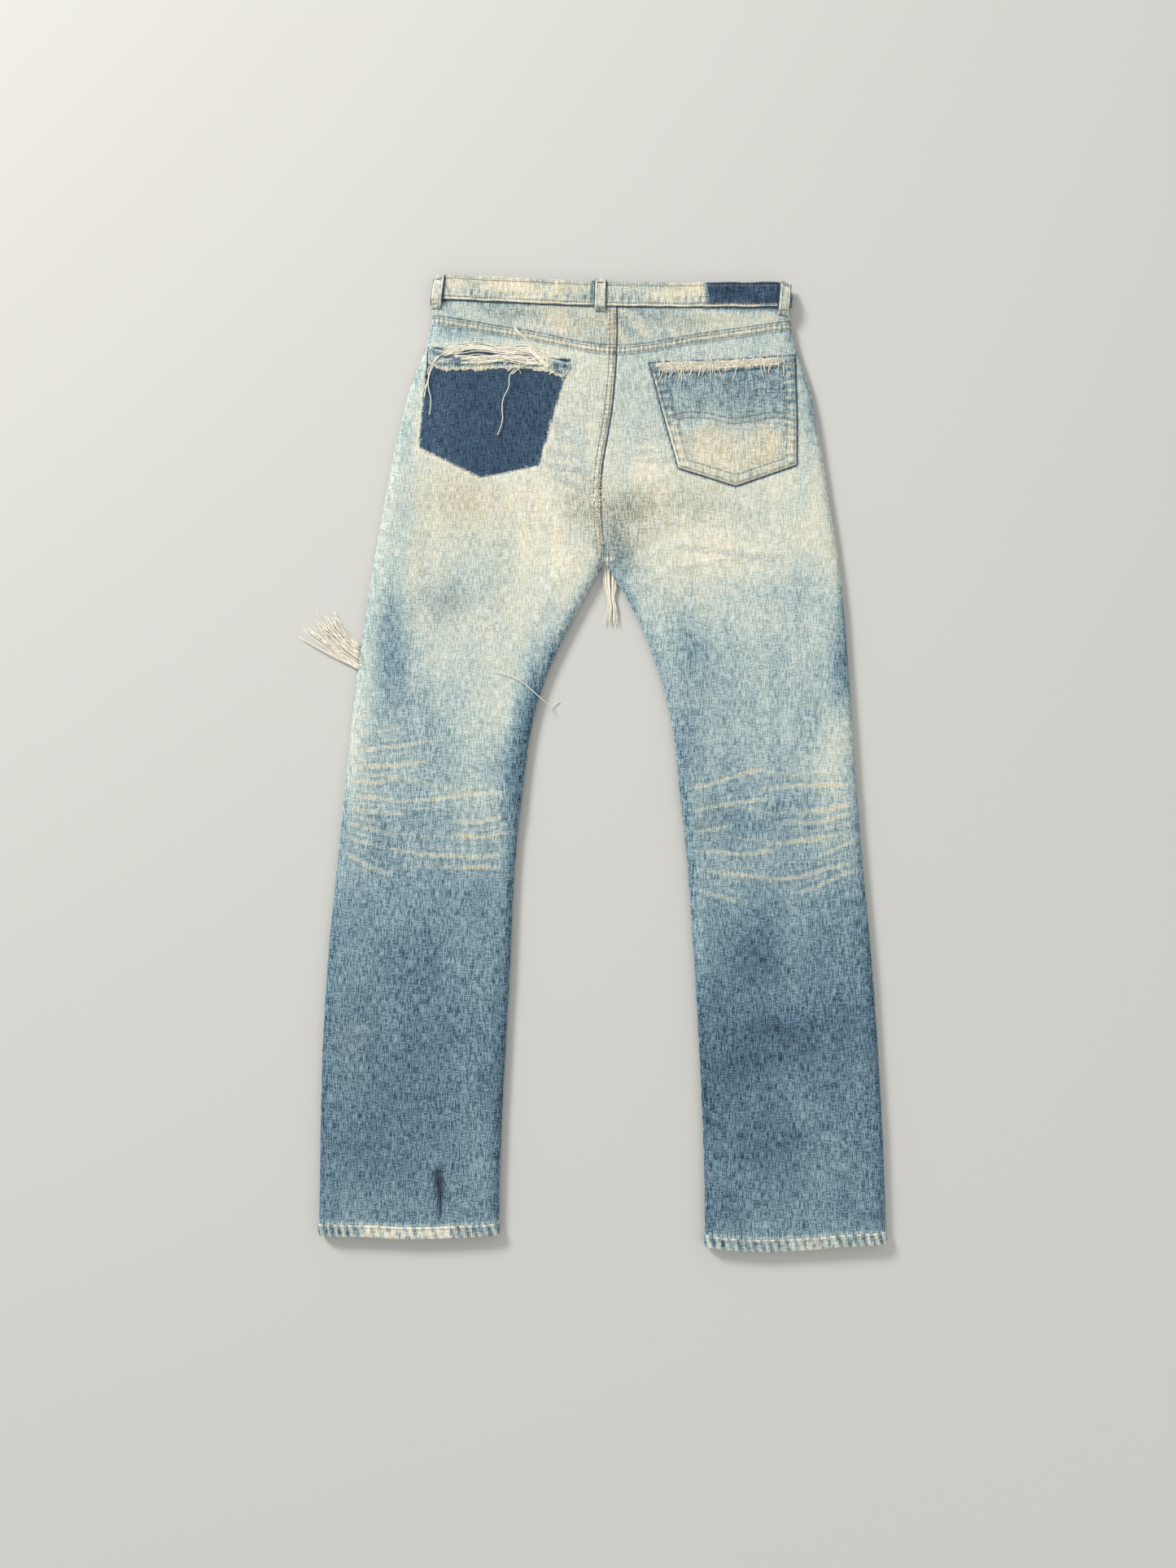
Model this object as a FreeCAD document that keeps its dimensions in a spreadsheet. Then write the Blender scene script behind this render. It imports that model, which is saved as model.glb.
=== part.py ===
"""A pair of worn five-pocket denim jeans, lying flat with the back side up.

Frame: X across the waist (+X is the wearer's right), +Y from hems to waist,
+Z up, the floor at z = 0.  Every size is in millimetres.
"""
import FreeCAD, Part

import math
import os

from FreeCAD import Placement, Rotation, Vector
from Sketcher import Constraint

doc = FreeCAD.newDocument("jeans")
sheet = doc.addObject("Spreadsheet::Sheet", "Sizes")

# ---------------------------------------------------------------- driving sizes

SIZES = {
    # cloth thicknesses and the heights of the two layers
    "no_size": 0,
    "denim": 0.9,
    "cloth_height": 14,
    "seam_width": 3,
    "lining": 0.6,
    "knee_gap": 0.3,
    # rows across the legs, from the waist seam down to the hems
    "waist_row": 531,
    "rise_row": 521,
    "hip_row": 425,
    "seat_row": 317,
    "crotch_row": 228,
    "thigh_row": 85,
    "knee_row": -70,
    "calf_row": -255,
    "hem_row_left": -535,
    "hem_row_right": -547,
    "hem_depth": 13,
    "hem_cloth": 2.2,
    # outer and inner edges of both legs on those rows
    "waist_outer_left": -200,
    "waist_outer_right": 223,
    "hip_outer_left": -228,
    "hip_outer_right": 247,
    "seat_outer_left": -251,
    "seat_outer_right": 264,
    "crotch_outer_left": -266,
    "crotch_outer_right": 277,
    "thigh_outer_left": -285,
    "thigh_outer_right": 288,
    "knee_outer_left": -300,
    "knee_outer_right": 297,
    "calf_outer_left": -316,
    "calf_outer_right": 311,
    "hem_outer_left": -321,
    "hem_outer_right": 322,
    "crotch_inner_left": 2.7,
    "crotch_inner_right": 3.3,
    "fork_row": 181,
    "fork_outer_left": -273,
    "fork_outer_right": 282,
    "fork_inner_left": -23,
    "fork_inner_right": 32,
    "thigh_inner_left": -68,
    "thigh_inner_right": 71,
    "knee_inner_left": -96,
    "knee_inner_right": 94,
    "calf_inner_left": -107,
    "calf_inner_right": 108,
    "hem_inner_left": -118,
    "hem_inner_right": 118,
    # centre back seam
    "seam_top_x": 17,
    "seam_mid_x": 12,
    "seam_mid_row": 415,
    "seam_low_x": -2,
    # yoke seam
    "yoke_row_left": 520,
    "yoke_turn_x_left": -90,
    "yoke_turn_row_left": 501,
    "yoke_row_centre": 483,
    "yoke_turn_x_right": 117,
    "yoke_turn_row_right": 497,
    "yoke_row_right": 513,
    # waistband
    "band_cloth": 1.6,
    "facing_cloth": 0.8,
    "band_sink": 1,
    "band_left_top_x": -194,
    "band_left_top": 570,
    "band_left_low": 541,
    "band_mid_x": -2,
    "band_mid_top": 561,
    "band_mid_low": 532,
    "band_right_top_x": 218,
    "band_right_top": 560,
    "band_right_low": 531,
    "band_front_top": 551,
    "band_front_low": 519,
    "band_front_z": 3,
    "band_end_z": 5.6,
    "band_end_x": -26,
    "band_step_x": 16,
    "fly_edge_x": 12,
    # belt loops
    "loop_width": 13,
    "loop_cloth": 1.2,
    "loop_gap": 1.6,
    "loop_foot": 3,
    "loop_foot_drop": 0.6,
    "side_loop_lean": 6,
    "loop_back_low": 526,
    "loop_back_length": 37,
    "loop_front_low": 522.5,
    "loop_front_length": 27,
    "loop_back_x": -1.5,
    "loop_left_x": -190,
    "loop_right_x": 213,
    "loop_front_left_x": -96,
    "loop_front_right_x": 104,
    # right back pocket and its half lining
    "pocket_top_left_x": 57,
    "pocket_top_left_row": 461,
    "pocket_top_right_x": 227,
    "pocket_top_right_row": 471,
    "pocket_low_right_x": 228,
    "pocket_low_right_row": 341,
    "pocket_tip_x": 157,
    "pocket_tip_row": 316,
    "pocket_low_left_x": 90,
    "pocket_low_left_row": 337,
    "pocket_cloth": 1.2,
    "lining_inset": 9,
    "lining_low_left_x": 82,
    "lining_row_left": 391,
    "lining_row_right": 395,
    # what is left of the torn-off left back pocket
    "remnant_left_x": -205,
    "remnant_left_top": 484,
    "remnant_left_low": 462,
    "remnant_right_x": -39,
    "remnant_right_top": 465,
    "remnant_right_low": 447,
    "remnant_cloth": 1.6,
    # front pockets, coin pocket and fly
    "scoop_top_left_x": -112,
    "scoop_top_right_x": 128,
    "scoop_radius": 95,
    "facing_low_row": 405,
    "bag_inner_x": 60,
    "bag_low_row": 285,
    "bag_outer_inset": 26,
    "bag_cloth": 0.5,
    "bag_side": 4,
    "facing_overlap": 22,
    "coin_left_x": 158,
    "coin_right_x": 208,
    "coin_top_row": 506,
    "coin_low_row": 466,
    "fly_low_row": 385,
    "fly_facing_x": -26,
    "fly_facing_z": 3.7,
    "fly_shield_x": -30,
    "fly_shield_edge_x": 24,
    "fly_shield_z": 5.5,
    "fly_cloth": 1.4,
    # seat repair patches, sewn inside
    "patch_cloth": 0.7,
    "patch_low_row": 296,
    "patch_top_row": 402,
    "patch_left_x": -116,
    "patch_right_x": 104,
    "patch_centre_gap": 16,
    # buttons: a head that turns on the nail of its tack
    "button_x": -6,
    "button_row": 535,
    "button_radius": 8.5,
    "fly_button_radius": 7,
    "fly_button_top_row": 505,
    "fly_button_pitch": 34,
    "head_z": 0.3,
    "fly_head_z": 1.2,
    "head_thickness": 2.3,
    "head_floor": 0.8,
    "nail_play": 0.3,
    "nail_radius": 1.2,
    "bore_radius": 1.25,
    "slot_radius": 2,
    "tack_radius": 4.2,
    "tack_thickness": 0.8,
    # pocket rivets
    "rivet_step": 8,
    "rivet_side": 12,
    "rivet_radius": 4.5,
    "rivet_hole_radius": 4.6,
    "burr_radius": 3.4,
    "burr_thickness": 0.8,
    # loose yarn
    "thread_thickness": 1,
    "bundle_thickness": 2,
    "side_tuft_thickness": 4,
    "crotch_tuft_thickness": 4,
}
FLY_BUTTONS = 4


def fill_sheet():
    for row, (alias, size) in enumerate(SIZES.items(), start=1):
        sheet.set(f"A{row}", alias)
        sheet.set(f"B{row}", str(size))
        sheet.setAlias(f"B{row}", alias)
    doc.recompute()


def size(formula):
    """The value of a formula such as 'knee_row + knee_gap'."""
    total = 0.0
    sign = 1
    for word in formula.split():
        if word in "+-":
            sign = 1 if word == "+" else -1
        else:
            total += sign * float(sheet.get(word))
            sign = 1
    return total


def cells(formula):
    """The same formula as an expression on the spreadsheet's cells."""
    words = [word if word in "+-" else f"Sizes.{word}" for word in formula.split()]
    return " ".join(words)


# ------------------------------------------------------------------ construction

def new_body(label):
    body = doc.addObject("PartDesign::Body", label)
    body.Label = label
    return body


def new_sketch(body, plane, offset=None):
    """A sketch on one of the body's own origin planes, moved along its normal."""
    sketch = body.newObject("Sketcher::SketchObject", f"{body.Label}_sketch")
    support = [item for item in body.Origin.OriginFeatures if item.Role == plane]
    sketch.AttachmentSupport = [(support[0], "")]
    sketch.MapMode = "FlatFace"
    if offset:
        sketch.setExpression("AttachmentOffset.Base.z", offset)
    return sketch


def pin_point(sketch, geometry, end, corner):
    """Tie one point of a sketch to the cells that place it."""
    for kind, formula in zip(("DistanceX", "DistanceY"), corner):
        rule = Constraint(kind, -1, 1, geometry, end, size(formula))
        index = sketch.addConstraint(rule)
        sketch.setExpression(f"Constraints[{index}]", cells(formula))


def add_outline(sketch, corners):
    """A closed outline of straight edges.

    A corner is a pair of formulas.  A third item is the radius of an arc that
    runs from that corner to the next one, bulging to the left of its chord.
    """
    first = sketch.GeometryCount
    count = len(corners)
    spots = [Vector(size(corner[0]), size(corner[1]), 0) for corner in corners]
    for index, corner in enumerate(corners):
        start = spots[index]
        end = spots[(index + 1) % count]
        if len(corner) == 3:
            chord = end - start
            radius = size(corner[2])
            left = Vector(-chord.y, chord.x, 0).normalize()
            rise = radius - math.sqrt(radius ** 2 - (chord.Length / 2) ** 2)
            sketch.addGeometry(Part.Arc(start, start + chord / 2 + left * rise, end), False)
        else:
            sketch.addGeometry(Part.LineSegment(start, end), False)
    for index, corner in enumerate(corners):
        edge = first + index
        following = first + (index + 1) % count
        curved = len(corner) == 3
        next_curved = len(corners[(index + 1) % count]) == 3
        # the left-bulging arcs run clockwise, so their stored ends are swapped
        end_point = 1 if curved else 2
        start_point = 2 if next_curved else 1
        sketch.addConstraint(Constraint("Coincident", edge, end_point, following, start_point))
        pin_point(sketch, edge, 2 if curved else 1, corner[:2])
        if curved:
            index = sketch.addConstraint(Constraint("Radius", edge, size(corner[2])))
            sketch.setExpression(f"Constraints[{index}]", cells(corner[2]))


def pad(body, corners, low, thickness, plane="XY_Plane", cut=False):
    """Pad (or pocket) one outline; 'low' is its start along the plane's normal."""
    sketch = new_sketch(body, plane, cells(low))
    add_outline(sketch, corners)
    return extrude(body, sketch, thickness, cut)


def extrude(body, sketch, thickness, cut=False):
    before = body.Shape.Volume if cut else 0
    feature = body.newObject("PartDesign::Pocket" if cut else "PartDesign::Pad", "Extrusion")
    feature.Profile = sketch
    if cut:
        feature.Reversed = True
    feature.setExpression("Length", cells(thickness))
    body.Tip = feature
    doc.recompute()
    if cut and not feature.Shape.Volume < before - 0.1:
        raise RuntimeError(f"{body.Label}: a pocket removes nothing")
    return feature


def pierce(body, centre, radius, low, depth):
    """A round hole through a flat piece."""
    sketch = new_sketch(body, "XY_Plane", cells(low))
    spot = Vector(size(centre[0]), size(centre[1]), 0)
    sketch.addGeometry(Part.Circle(spot, Vector(0, 0, 1), size(radius)), False)
    index = sketch.addConstraint(Constraint("Radius", 0, size(radius)))
    sketch.setExpression(f"Constraints[{index}]", cells(radius))
    pin_point(sketch, 0, 3, centre)
    return extrude(body, sketch, depth, cut=True)


def flat_piece(label, corners, low, thickness):
    """A piece of cloth lying flat: one outline in XY, padded upwards."""
    body = new_body(label)
    pad(body, corners, low, thickness)
    return body


def group(label, shapes):
    """Several separate solids in one node."""
    feature = doc.addObject("Part::Feature", label)
    feature.Label = label
    feature.Shape = Part.makeCompound(shapes)
    return feature


# ------------------------------------------------------------------ leg panels

BACK_LOW = "cloth_height - denim"
FLOOR = "no_size"
SIDES = ("left", "right")


def edge(rows, side, line):
    """Corners down one edge of a leg; rows are names such as 'thigh'."""
    shared = ("fork", "thigh", "calf", "crotch", "seat", "hip")
    places = {row: f"{row}_row" for row in shared}
    places["knee_upper"] = "knee_row + knee_gap"
    places["knee_lower"] = "knee_row - knee_gap"
    places["hem"] = f"hem_row_{side}"
    corners = []
    for row in rows:
        name = row.split("_")[0]
        corners.append((f"{name}_{line}_{side}", places[row]))
    return corners


OUTER_UPPER = ("hip", "seat", "crotch", "fork", "thigh", "knee_upper")
INNER_UPPER = ("knee_upper", "thigh", "fork", "crotch")
OUTER_LOWER = ("knee_lower", "calf", "hem")
INNER_LOWER = ("hem", "calf", "knee_lower")
CENTRE_SEAM = [
    ("seam_low_x", "seat_row"),
    ("seam_mid_x", "seam_mid_row"),
    ("seam_top_x", "yoke_row_centre"),
]


def make_back_panels():
    for side in SIDES:
        turn = (f"yoke_turn_x_{side}", f"yoke_turn_row_{side}")
        top = (f"waist_outer_{side}", f"yoke_row_{side}")
        corners = [top] + edge(OUTER_UPPER, side, "outer") + edge(INNER_UPPER, side, "inner")
        corners += CENTRE_SEAM + [turn]
        flat_piece(f"back_panel_{side}_upper", corners, BACK_LOW, "denim")
        lower = edge(OUTER_LOWER, side, "outer") + edge(INNER_LOWER, side, "inner")
        flat_piece(f"back_panel_{side}_lower", lower, BACK_LOW, "denim")


def make_yokes():
    """The V-shaped yoke between the waistband and the seat, in two halves."""
    for side in SIDES:
        corners = [
            (f"waist_outer_{side}", f"band_{side}_low"),
            (f"waist_outer_{side}", f"yoke_row_{side}"),
            (f"yoke_turn_x_{side}", f"yoke_turn_row_{side}"),
            ("seam_top_x", "yoke_row_centre"),
            ("band_mid_x", "band_mid_low"),
        ]
        flat_piece(f"yoke_{side}", corners, BACK_LOW, "denim")


def front_rivets(side):
    """The two corners of a front pocket mouth, and the coin pocket's corners."""
    if side == "left":
        mouth = [("scoop_top_left_x + rivet_step", "rise_row - rivet_step")]
        mouth += [("hip_outer_left + rivet_side", "hip_row - rivet_step")]
        return mouth
    mouth = [("scoop_top_right_x - rivet_step", "rise_row - rivet_step")]
    mouth += [("hip_outer_right - rivet_side", "hip_row - rivet_step")]
    return mouth


COIN_RIVETS = [
    ("coin_left_x + rivet_step", "coin_top_row - rivet_step"),
    ("coin_right_x - rivet_step", "coin_top_row - rivet_step"),
]


def make_front_panels():
    """Front leg panels, each with its scooped pocket mouth."""
    for side in SIDES:
        side_point = (f"hip_outer_{side}", "hip_row")
        top_point = (f"scoop_top_{side}_x", "rise_row")
        inner = edge(INNER_UPPER, side, "inner")
        outer = edge(OUTER_UPPER[1:], side, "outer")
        if side == "left":
            # from the fly along the rise, round the scoop, down the side
            corners = [("fly_edge_x", "rise_row"), top_point + ("scoop_radius",), side_point]
            corners += outer + inner + [("fly_edge_x", "seat_row")]
        else:
            corners = [side_point + ("scoop_radius",), top_point]
            corners += [("fly_edge_x + knee_gap", "rise_row"), ("fly_edge_x + knee_gap", "seat_row")]
            corners += inner[::-1] + outer[::-1]
        panel = flat_piece(f"front_panel_{side}_upper", corners, FLOOR, "denim")
        for centre in front_rivets(side):
            pierce(panel, centre, "rivet_hole_radius", FLOOR, "denim")
        lower = edge(OUTER_LOWER, side, "outer") + edge(INNER_LOWER, side, "inner")
        flat_piece(f"front_panel_{side}_lower", lower, FLOOR, "denim")


def strip(label, corners, side):
    """A seam allowance standing between the two layers along one edge."""
    inward = "+" if side == "to_right" else "-"
    inner = [(f"{x} {inward} seam_width", y) for x, y in reversed(corners)]
    flat_piece(label, corners + inner, "denim", "cloth_height - denim - denim")


def make_seams():
    for side in SIDES:
        outer_turn = "to_right" if side == "left" else "to_left"
        inner_turn = "to_left" if side == "left" else "to_right"
        top = (f"waist_outer_{side}", "band_front_low")
        upper = [top] + edge(OUTER_UPPER, side, "outer")
        strip(f"outseam_{side}_upper", upper, outer_turn)
        strip(f"outseam_{side}_lower", edge(OUTER_LOWER, side, "outer"), outer_turn)
        strip(f"inseam_{side}_upper", edge(INNER_UPPER, side, "inner"), inner_turn)
        strip(f"inseam_{side}_lower", edge(INNER_LOWER, side, "inner"), inner_turn)


def make_hems():
    """Turned-up hems: a flattened ring of doubled cloth round each leg end."""
    for side in SIDES:
        body = new_body(f"hem_{side}")
        sketch = new_sketch(body, "XZ_Plane", f"-(Sizes.hem_row_{side})")
        left = f"hem_outer_{side}" if side == "left" else f"hem_inner_{side}"
        right = f"hem_inner_{side}" if side == "left" else f"hem_outer_{side}"
        outside = [
            (left, FLOOR),
            (right, FLOOR),
            (right, "cloth_height"),
            (left, "cloth_height"),
        ]
        inside = [
            (f"{left} + hem_cloth", "hem_cloth"),
            (f"{right} - hem_cloth", "hem_cloth"),
            (f"{right} - hem_cloth", "cloth_height - hem_cloth"),
            (f"{left} + hem_cloth", "cloth_height - hem_cloth"),
        ]
        add_outline(sketch, outside)
        add_outline(sketch, inside)
        extrude(body, sketch, "hem_depth")


# ------------------------------------------------------------------ waistband

BAND = ("band_cloth",)
BAND_AND_FACING = ("band_cloth", "facing_cloth")


def inset(side, layers):
    """Formula text that moves a side edge inwards by some layers of cloth."""
    sign = "+" if side == "left" else "-"
    return "".join(f" {sign} {layer}" for layer in layers)


def back_band(layers):
    """Outline of the back half of the band, inside the given layers."""
    corners = []
    for side in SIDES:
        moved = inset(side, layers)
        end = [
            (f"band_{side}_top_x{moved}", f"band_{side}_top"),
            (f"waist_outer_{side}{moved}", "band_front_top"),
            (f"waist_outer_{side}{moved}", f"band_{side}_low"),
        ]
        if side == "left":
            corners += end + [("band_mid_x", "band_mid_low")]
        else:
            corners += end[::-1] + [("band_mid_x", "band_mid_top")]
    return corners


def side_fold(side, outside, inside):
    """The upright wall where the band turns under at one side, above its seam."""
    corners = []
    for layers in (outside, inside):
        moved = inset(side, layers)
        edge_line = [
            (f"band_{side}_top_x{moved}", f"band_{side}_top"),
            (f"waist_outer_{side}{moved}", "band_front_top"),
            (f"waist_outer_{side}{moved}", f"band_{side}_low"),
        ]
        corners += edge_line if not corners else edge_line[::-1]
    return corners


def low_fold(side, outside, inside):
    """The same wall below the back seam, down to the lower edge of the front."""
    outer = f"waist_outer_{side}{inset(side, outside)}"
    inner = f"waist_outer_{side}{inset(side, inside)}"
    return rectangle(outer, inner, "band_front_low", f"band_{side}_low")


def rectangle(left, right, low, high):
    return [(left, low), (right, low), (right, high), (left, high)]


def make_waistband():
    """One strip of denim folded round the waist, its ends overlapping at the fly."""
    body = new_body("waistband")
    top_low = "cloth_height - band_sink"
    pad(body, back_band(()), top_low, "band_cloth")
    wall_height = "cloth_height - band_sink + band_cloth - band_front_z"
    for side in SIDES:
        pad(body, side_fold(side, (), BAND), "band_front_z", wall_height)
        low_wall = low_fold(side, (), BAND)
        pad(body, low_wall, "band_front_z", "cloth_height - denim - band_front_z")
    front_left = rectangle("waist_outer_left + band_cloth", "fly_edge_x",
                           "band_front_low", "band_front_top")
    pad(body, front_left, "band_front_z", "band_cloth")
    front_right = rectangle("band_step_x", "waist_outer_right - band_cloth",
                            "band_front_low", "band_front_top")
    pad(body, front_right, "band_front_z", "band_cloth")
    # the button end steps up over the buttonhole end
    step = rectangle("band_step_x", "band_step_x + band_cloth",
                     "band_front_low", "band_front_top")
    pad(body, step, "band_front_z", "band_end_z - band_front_z + band_cloth")
    end = rectangle("band_end_x", "band_step_x", "band_front_low", "band_front_top")
    pad(body, end, "band_end_z", "band_cloth")
    # the lower fold comes down onto the front panels
    for left, right in (("waist_outer_left", "fly_edge_x"),
                        ("band_step_x", "waist_outer_right")):
        lip = rectangle(left, right, "band_front_low", "rise_row")
        pad(body, lip, "denim", "band_front_z - denim")
    centre = ("button_x", "button_row")
    pierce(body, centre, "slot_radius", "band_front_z", "band_cloth")
    pierce(body, centre, "nail_radius", "band_end_z", "band_cloth")


def make_waistband_facing():
    """The inner layer of the band, against the body."""
    body = new_body("waistband_facing")
    low = "cloth_height - band_sink - facing_cloth"
    pad(body, back_band(BAND), low, "facing_cloth")
    front_low = "band_front_z + band_cloth"
    for side in SIDES:
        fold = side_fold(side, BAND, BAND_AND_FACING)
        height = "cloth_height - band_sink - band_front_z - band_cloth"
        pad(body, fold, front_low, height)
        low_wall = low_fold(side, BAND, BAND_AND_FACING)
        pad(body, low_wall, front_low, height)
    front_left = rectangle("waist_outer_left + band_cloth + facing_cloth", "fly_edge_x",
                           "band_front_low", "band_front_top")
    pad(body, front_left, front_low, "facing_cloth")
    front_right = rectangle("band_step_x + band_cloth + denim",
                            "waist_outer_right - band_cloth - facing_cloth",
                            "band_front_low", "band_front_top")
    pad(body, front_right, front_low, "facing_cloth")
    pierce(body, ("button_x", "button_row"), "slot_radius", front_low, "facing_cloth")


# ------------------------------------------------------------------ belt loops

def belt_loop(label, x, low, length, base, direction, lean=0):
    """A folded strip sewn down at both feet, padded from its side profile."""
    body = new_body(label)
    sketch = new_sketch(body, "YZ_Plane", "-Sizes.loop_width / 2")
    gap = f"{base} {direction} loop_gap"
    crown = f"{gap} {direction} loop_cloth"
    foot = base if direction == "-" else f"{base} - loop_foot_drop"
    corners = [
        (low, foot),
        (low, crown),
        (f"{low} + {length}", crown),
        (f"{low} + {length}", base),
        (f"{low} + {length} - loop_foot", base),
        (f"{low} + {length} - loop_foot", gap),
        (f"{low} + loop_foot", gap),
        (f"{low} + loop_foot", foot),
    ]
    add_outline(sketch, corners)
    extrude(body, sketch, "loop_width")
    pivot = Vector(0, size(low), 0)
    shift = Placement(Vector(size(x), 0, 0), Rotation())
    body.Placement = shift.multiply(Placement(Vector(), Rotation(Vector(0, 0, 1), lean), pivot))


def make_belt_loops():
    top = "cloth_height - band_sink + band_cloth"
    lean = size("side_loop_lean")
    back = ("loop_back_low", "loop_back_length", top, "+")
    belt_loop("belt_loop_back", "loop_back_x", *back)
    belt_loop("belt_loop_side_left", "loop_left_x", *back, lean=-lean)
    belt_loop("belt_loop_side_right", "loop_right_x", *back, lean=lean)
    front = ("loop_front_low", "loop_front_length", "band_front_z", "-")
    belt_loop("belt_loop_front_left", "loop_front_left_x", *front)
    belt_loop("belt_loop_front_right", "loop_front_right_x", *front)


# ------------------------------------------------------------------ pockets

def make_back_pocket():
    """The right back pocket and the half lining behind its upper part."""
    lining = [
        ("pocket_top_left_x + lining_inset", "pocket_top_left_row - lining_inset"),
        ("lining_low_left_x", "lining_row_left"),
        ("pocket_low_right_x - lining_inset", "lining_row_right"),
        ("pocket_top_right_x - lining_inset", "pocket_top_right_row - lining_inset"),
    ]
    flat_piece("back_pocket_lining_right", lining, "cloth_height", "lining")
    pocket = [
        ("pocket_top_left_x", "pocket_top_left_row"),
        ("pocket_low_left_x", "pocket_low_left_row"),
        ("pocket_tip_x", "pocket_tip_row"),
        ("pocket_low_right_x", "pocket_low_right_row"),
        ("pocket_top_right_x", "pocket_top_right_row"),
    ]
    flat_piece("back_pocket_right", pocket, "cloth_height + lining", "pocket_cloth")


def make_pocket_remnant():
    """The sewn-down mouth of the left back pocket, all that is left of it."""
    corners = [
        ("remnant_left_x", "remnant_left_top"),
        ("remnant_left_x", "remnant_left_low"),
        ("remnant_right_x", "remnant_right_low"),
        ("remnant_right_x", "remnant_right_top"),
    ]
    flat_piece("back_pocket_remnant_left", corners, "cloth_height", "remnant_cloth")


def make_front_pockets():
    """Denim facings in the pocket mouths, the hanging bags and the coin pocket."""
    for side in SIDES:
        sign = "+" if side == "left" else "-"
        away = "-" if side == "left" else "+"
        outer = f"waist_outer_{side} {sign} seam_width"
        low_outer = f"hip_outer_{side} {sign} seam_width"
        facing = [
            (outer, "band_front_low"),
            (low_outer, "hip_row"),
            (low_outer, "facing_low_row"),
            (f"scoop_top_{side}_x {sign} facing_overlap", "facing_low_row"),
            (f"scoop_top_{side}_x {sign} facing_overlap", "band_front_low"),
        ]
        piece = flat_piece(f"front_pocket_facing_{side}", facing, "denim", "denim")
        inner = f"no_size {away} bag_inner_x"
        bag_outer = f"hip_outer_{side} {sign} bag_outer_inset"
        bag = [
            (f"{low_outer} {sign} bag_side", "facing_low_row"),
            (bag_outer, "bag_low_row"),
            (inner, "bag_low_row"),
            (inner, "facing_low_row"),
        ]
        flat_piece(f"front_pocket_bag_{side}", bag, "denim", "bag_cloth")
        holes = front_rivets(side)
        if side == "right":
            holes = holes + COIN_RIVETS
        for centre in holes:
            pierce(piece, centre, "nail_radius", "denim", "denim")
    corners = rectangle("coin_left_x", "coin_right_x", "coin_low_row", "coin_top_row")
    coin = flat_piece("coin_pocket", corners, FLOOR, "denim")
    for centre in COIN_RIVETS:
        pierce(coin, centre, "rivet_hole_radius", FLOOR, "denim")


# ------------------------------------------------------------------ fly and buttons

def fly_centres():
    """Formulas for the fly buttons' centres, from the top one down."""
    centres = []
    row = "fly_button_top_row"
    for index in range(FLY_BUTTONS):
        centres.append(("button_x", row))
        row += " - fly_button_pitch"
    return centres


def make_fly():
    """The buttonhole facing under the left edge and the shield with the tacks."""
    facing = new_body("fly_facing")
    low = "fly_low_row"
    high = "band_front_low"
    wall = rectangle("fly_facing_x", "fly_facing_x + fly_cloth", low, high)
    pad(facing, wall, "denim", "fly_facing_z - denim + fly_cloth")
    plate = rectangle("fly_facing_x", "fly_edge_x", low, high)
    pad(facing, plate, "fly_facing_z", "fly_cloth")
    shield = new_body("fly_shield")
    edge_x = "fly_shield_edge_x"
    wall = rectangle(f"{edge_x} - fly_cloth", edge_x, low, high)
    pad(shield, wall, "denim", "fly_shield_z - denim + fly_cloth")
    plate = rectangle("fly_shield_x", edge_x, low, high)
    pad(shield, plate, "fly_shield_z", "fly_cloth")
    for centre in fly_centres():
        pierce(facing, centre, "slot_radius", "fly_facing_z", "fly_cloth")
        pierce(shield, centre, "nail_radius", "fly_shield_z", "fly_cloth")


def button_head(label, radius, row, low):
    """A domed head with a blind bore that turns on its nail."""
    rise = size("head_thickness")
    spot = Vector(size("button_x"), row, low)
    head = Part.makeCylinder(radius, rise, spot)
    rim = [item for item in head.Edges if item.Length > 6 * radius * 0.99]
    head = head.makeFillet(rise * 0.3, rim)
    floor = size("head_floor")
    bore = Part.makeCylinder(size("bore_radius"), rise, spot + Vector(0, 0, floor))
    feature = doc.addObject("Part::Feature", label)
    feature.Label = label
    feature.Shape = head.cut(bore)
    return feature


def tack(row, seat, head_low):
    """A tack: a flat base inside the cloth and a nail down into the head."""
    spot = Vector(size("button_x"), row, seat)
    base = Part.makeCylinder(size("tack_radius"), size("tack_thickness"), spot)
    tip = head_low + size("head_floor + nail_play")
    nail_base = Vector(spot.x, spot.y, tip)
    nail = Part.makeCylinder(size("nail_radius"), seat - tip, nail_base)
    return base.fuse(nail).removeSplitter()


def make_buttons():
    row = size("button_row")
    low = size("head_z")
    button_head("waist_button_head", size("button_radius"), row, low)
    group("waist_button_tack", [tack(row, size("band_end_z + band_cloth"), low)])
    seat = size("fly_shield_z + fly_cloth")
    low = size("fly_head_z")
    rows = [size("fly_button_top_row") - size("fly_button_pitch") * index
            for index in range(FLY_BUTTONS)]
    for index, fly_row in enumerate(rows, start=1):
        button_head(f"fly_button_head_{index}", size("fly_button_radius"), fly_row, low)
    group("fly_button_tacks", [tack(fly_row, seat, low) for fly_row in rows])


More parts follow.
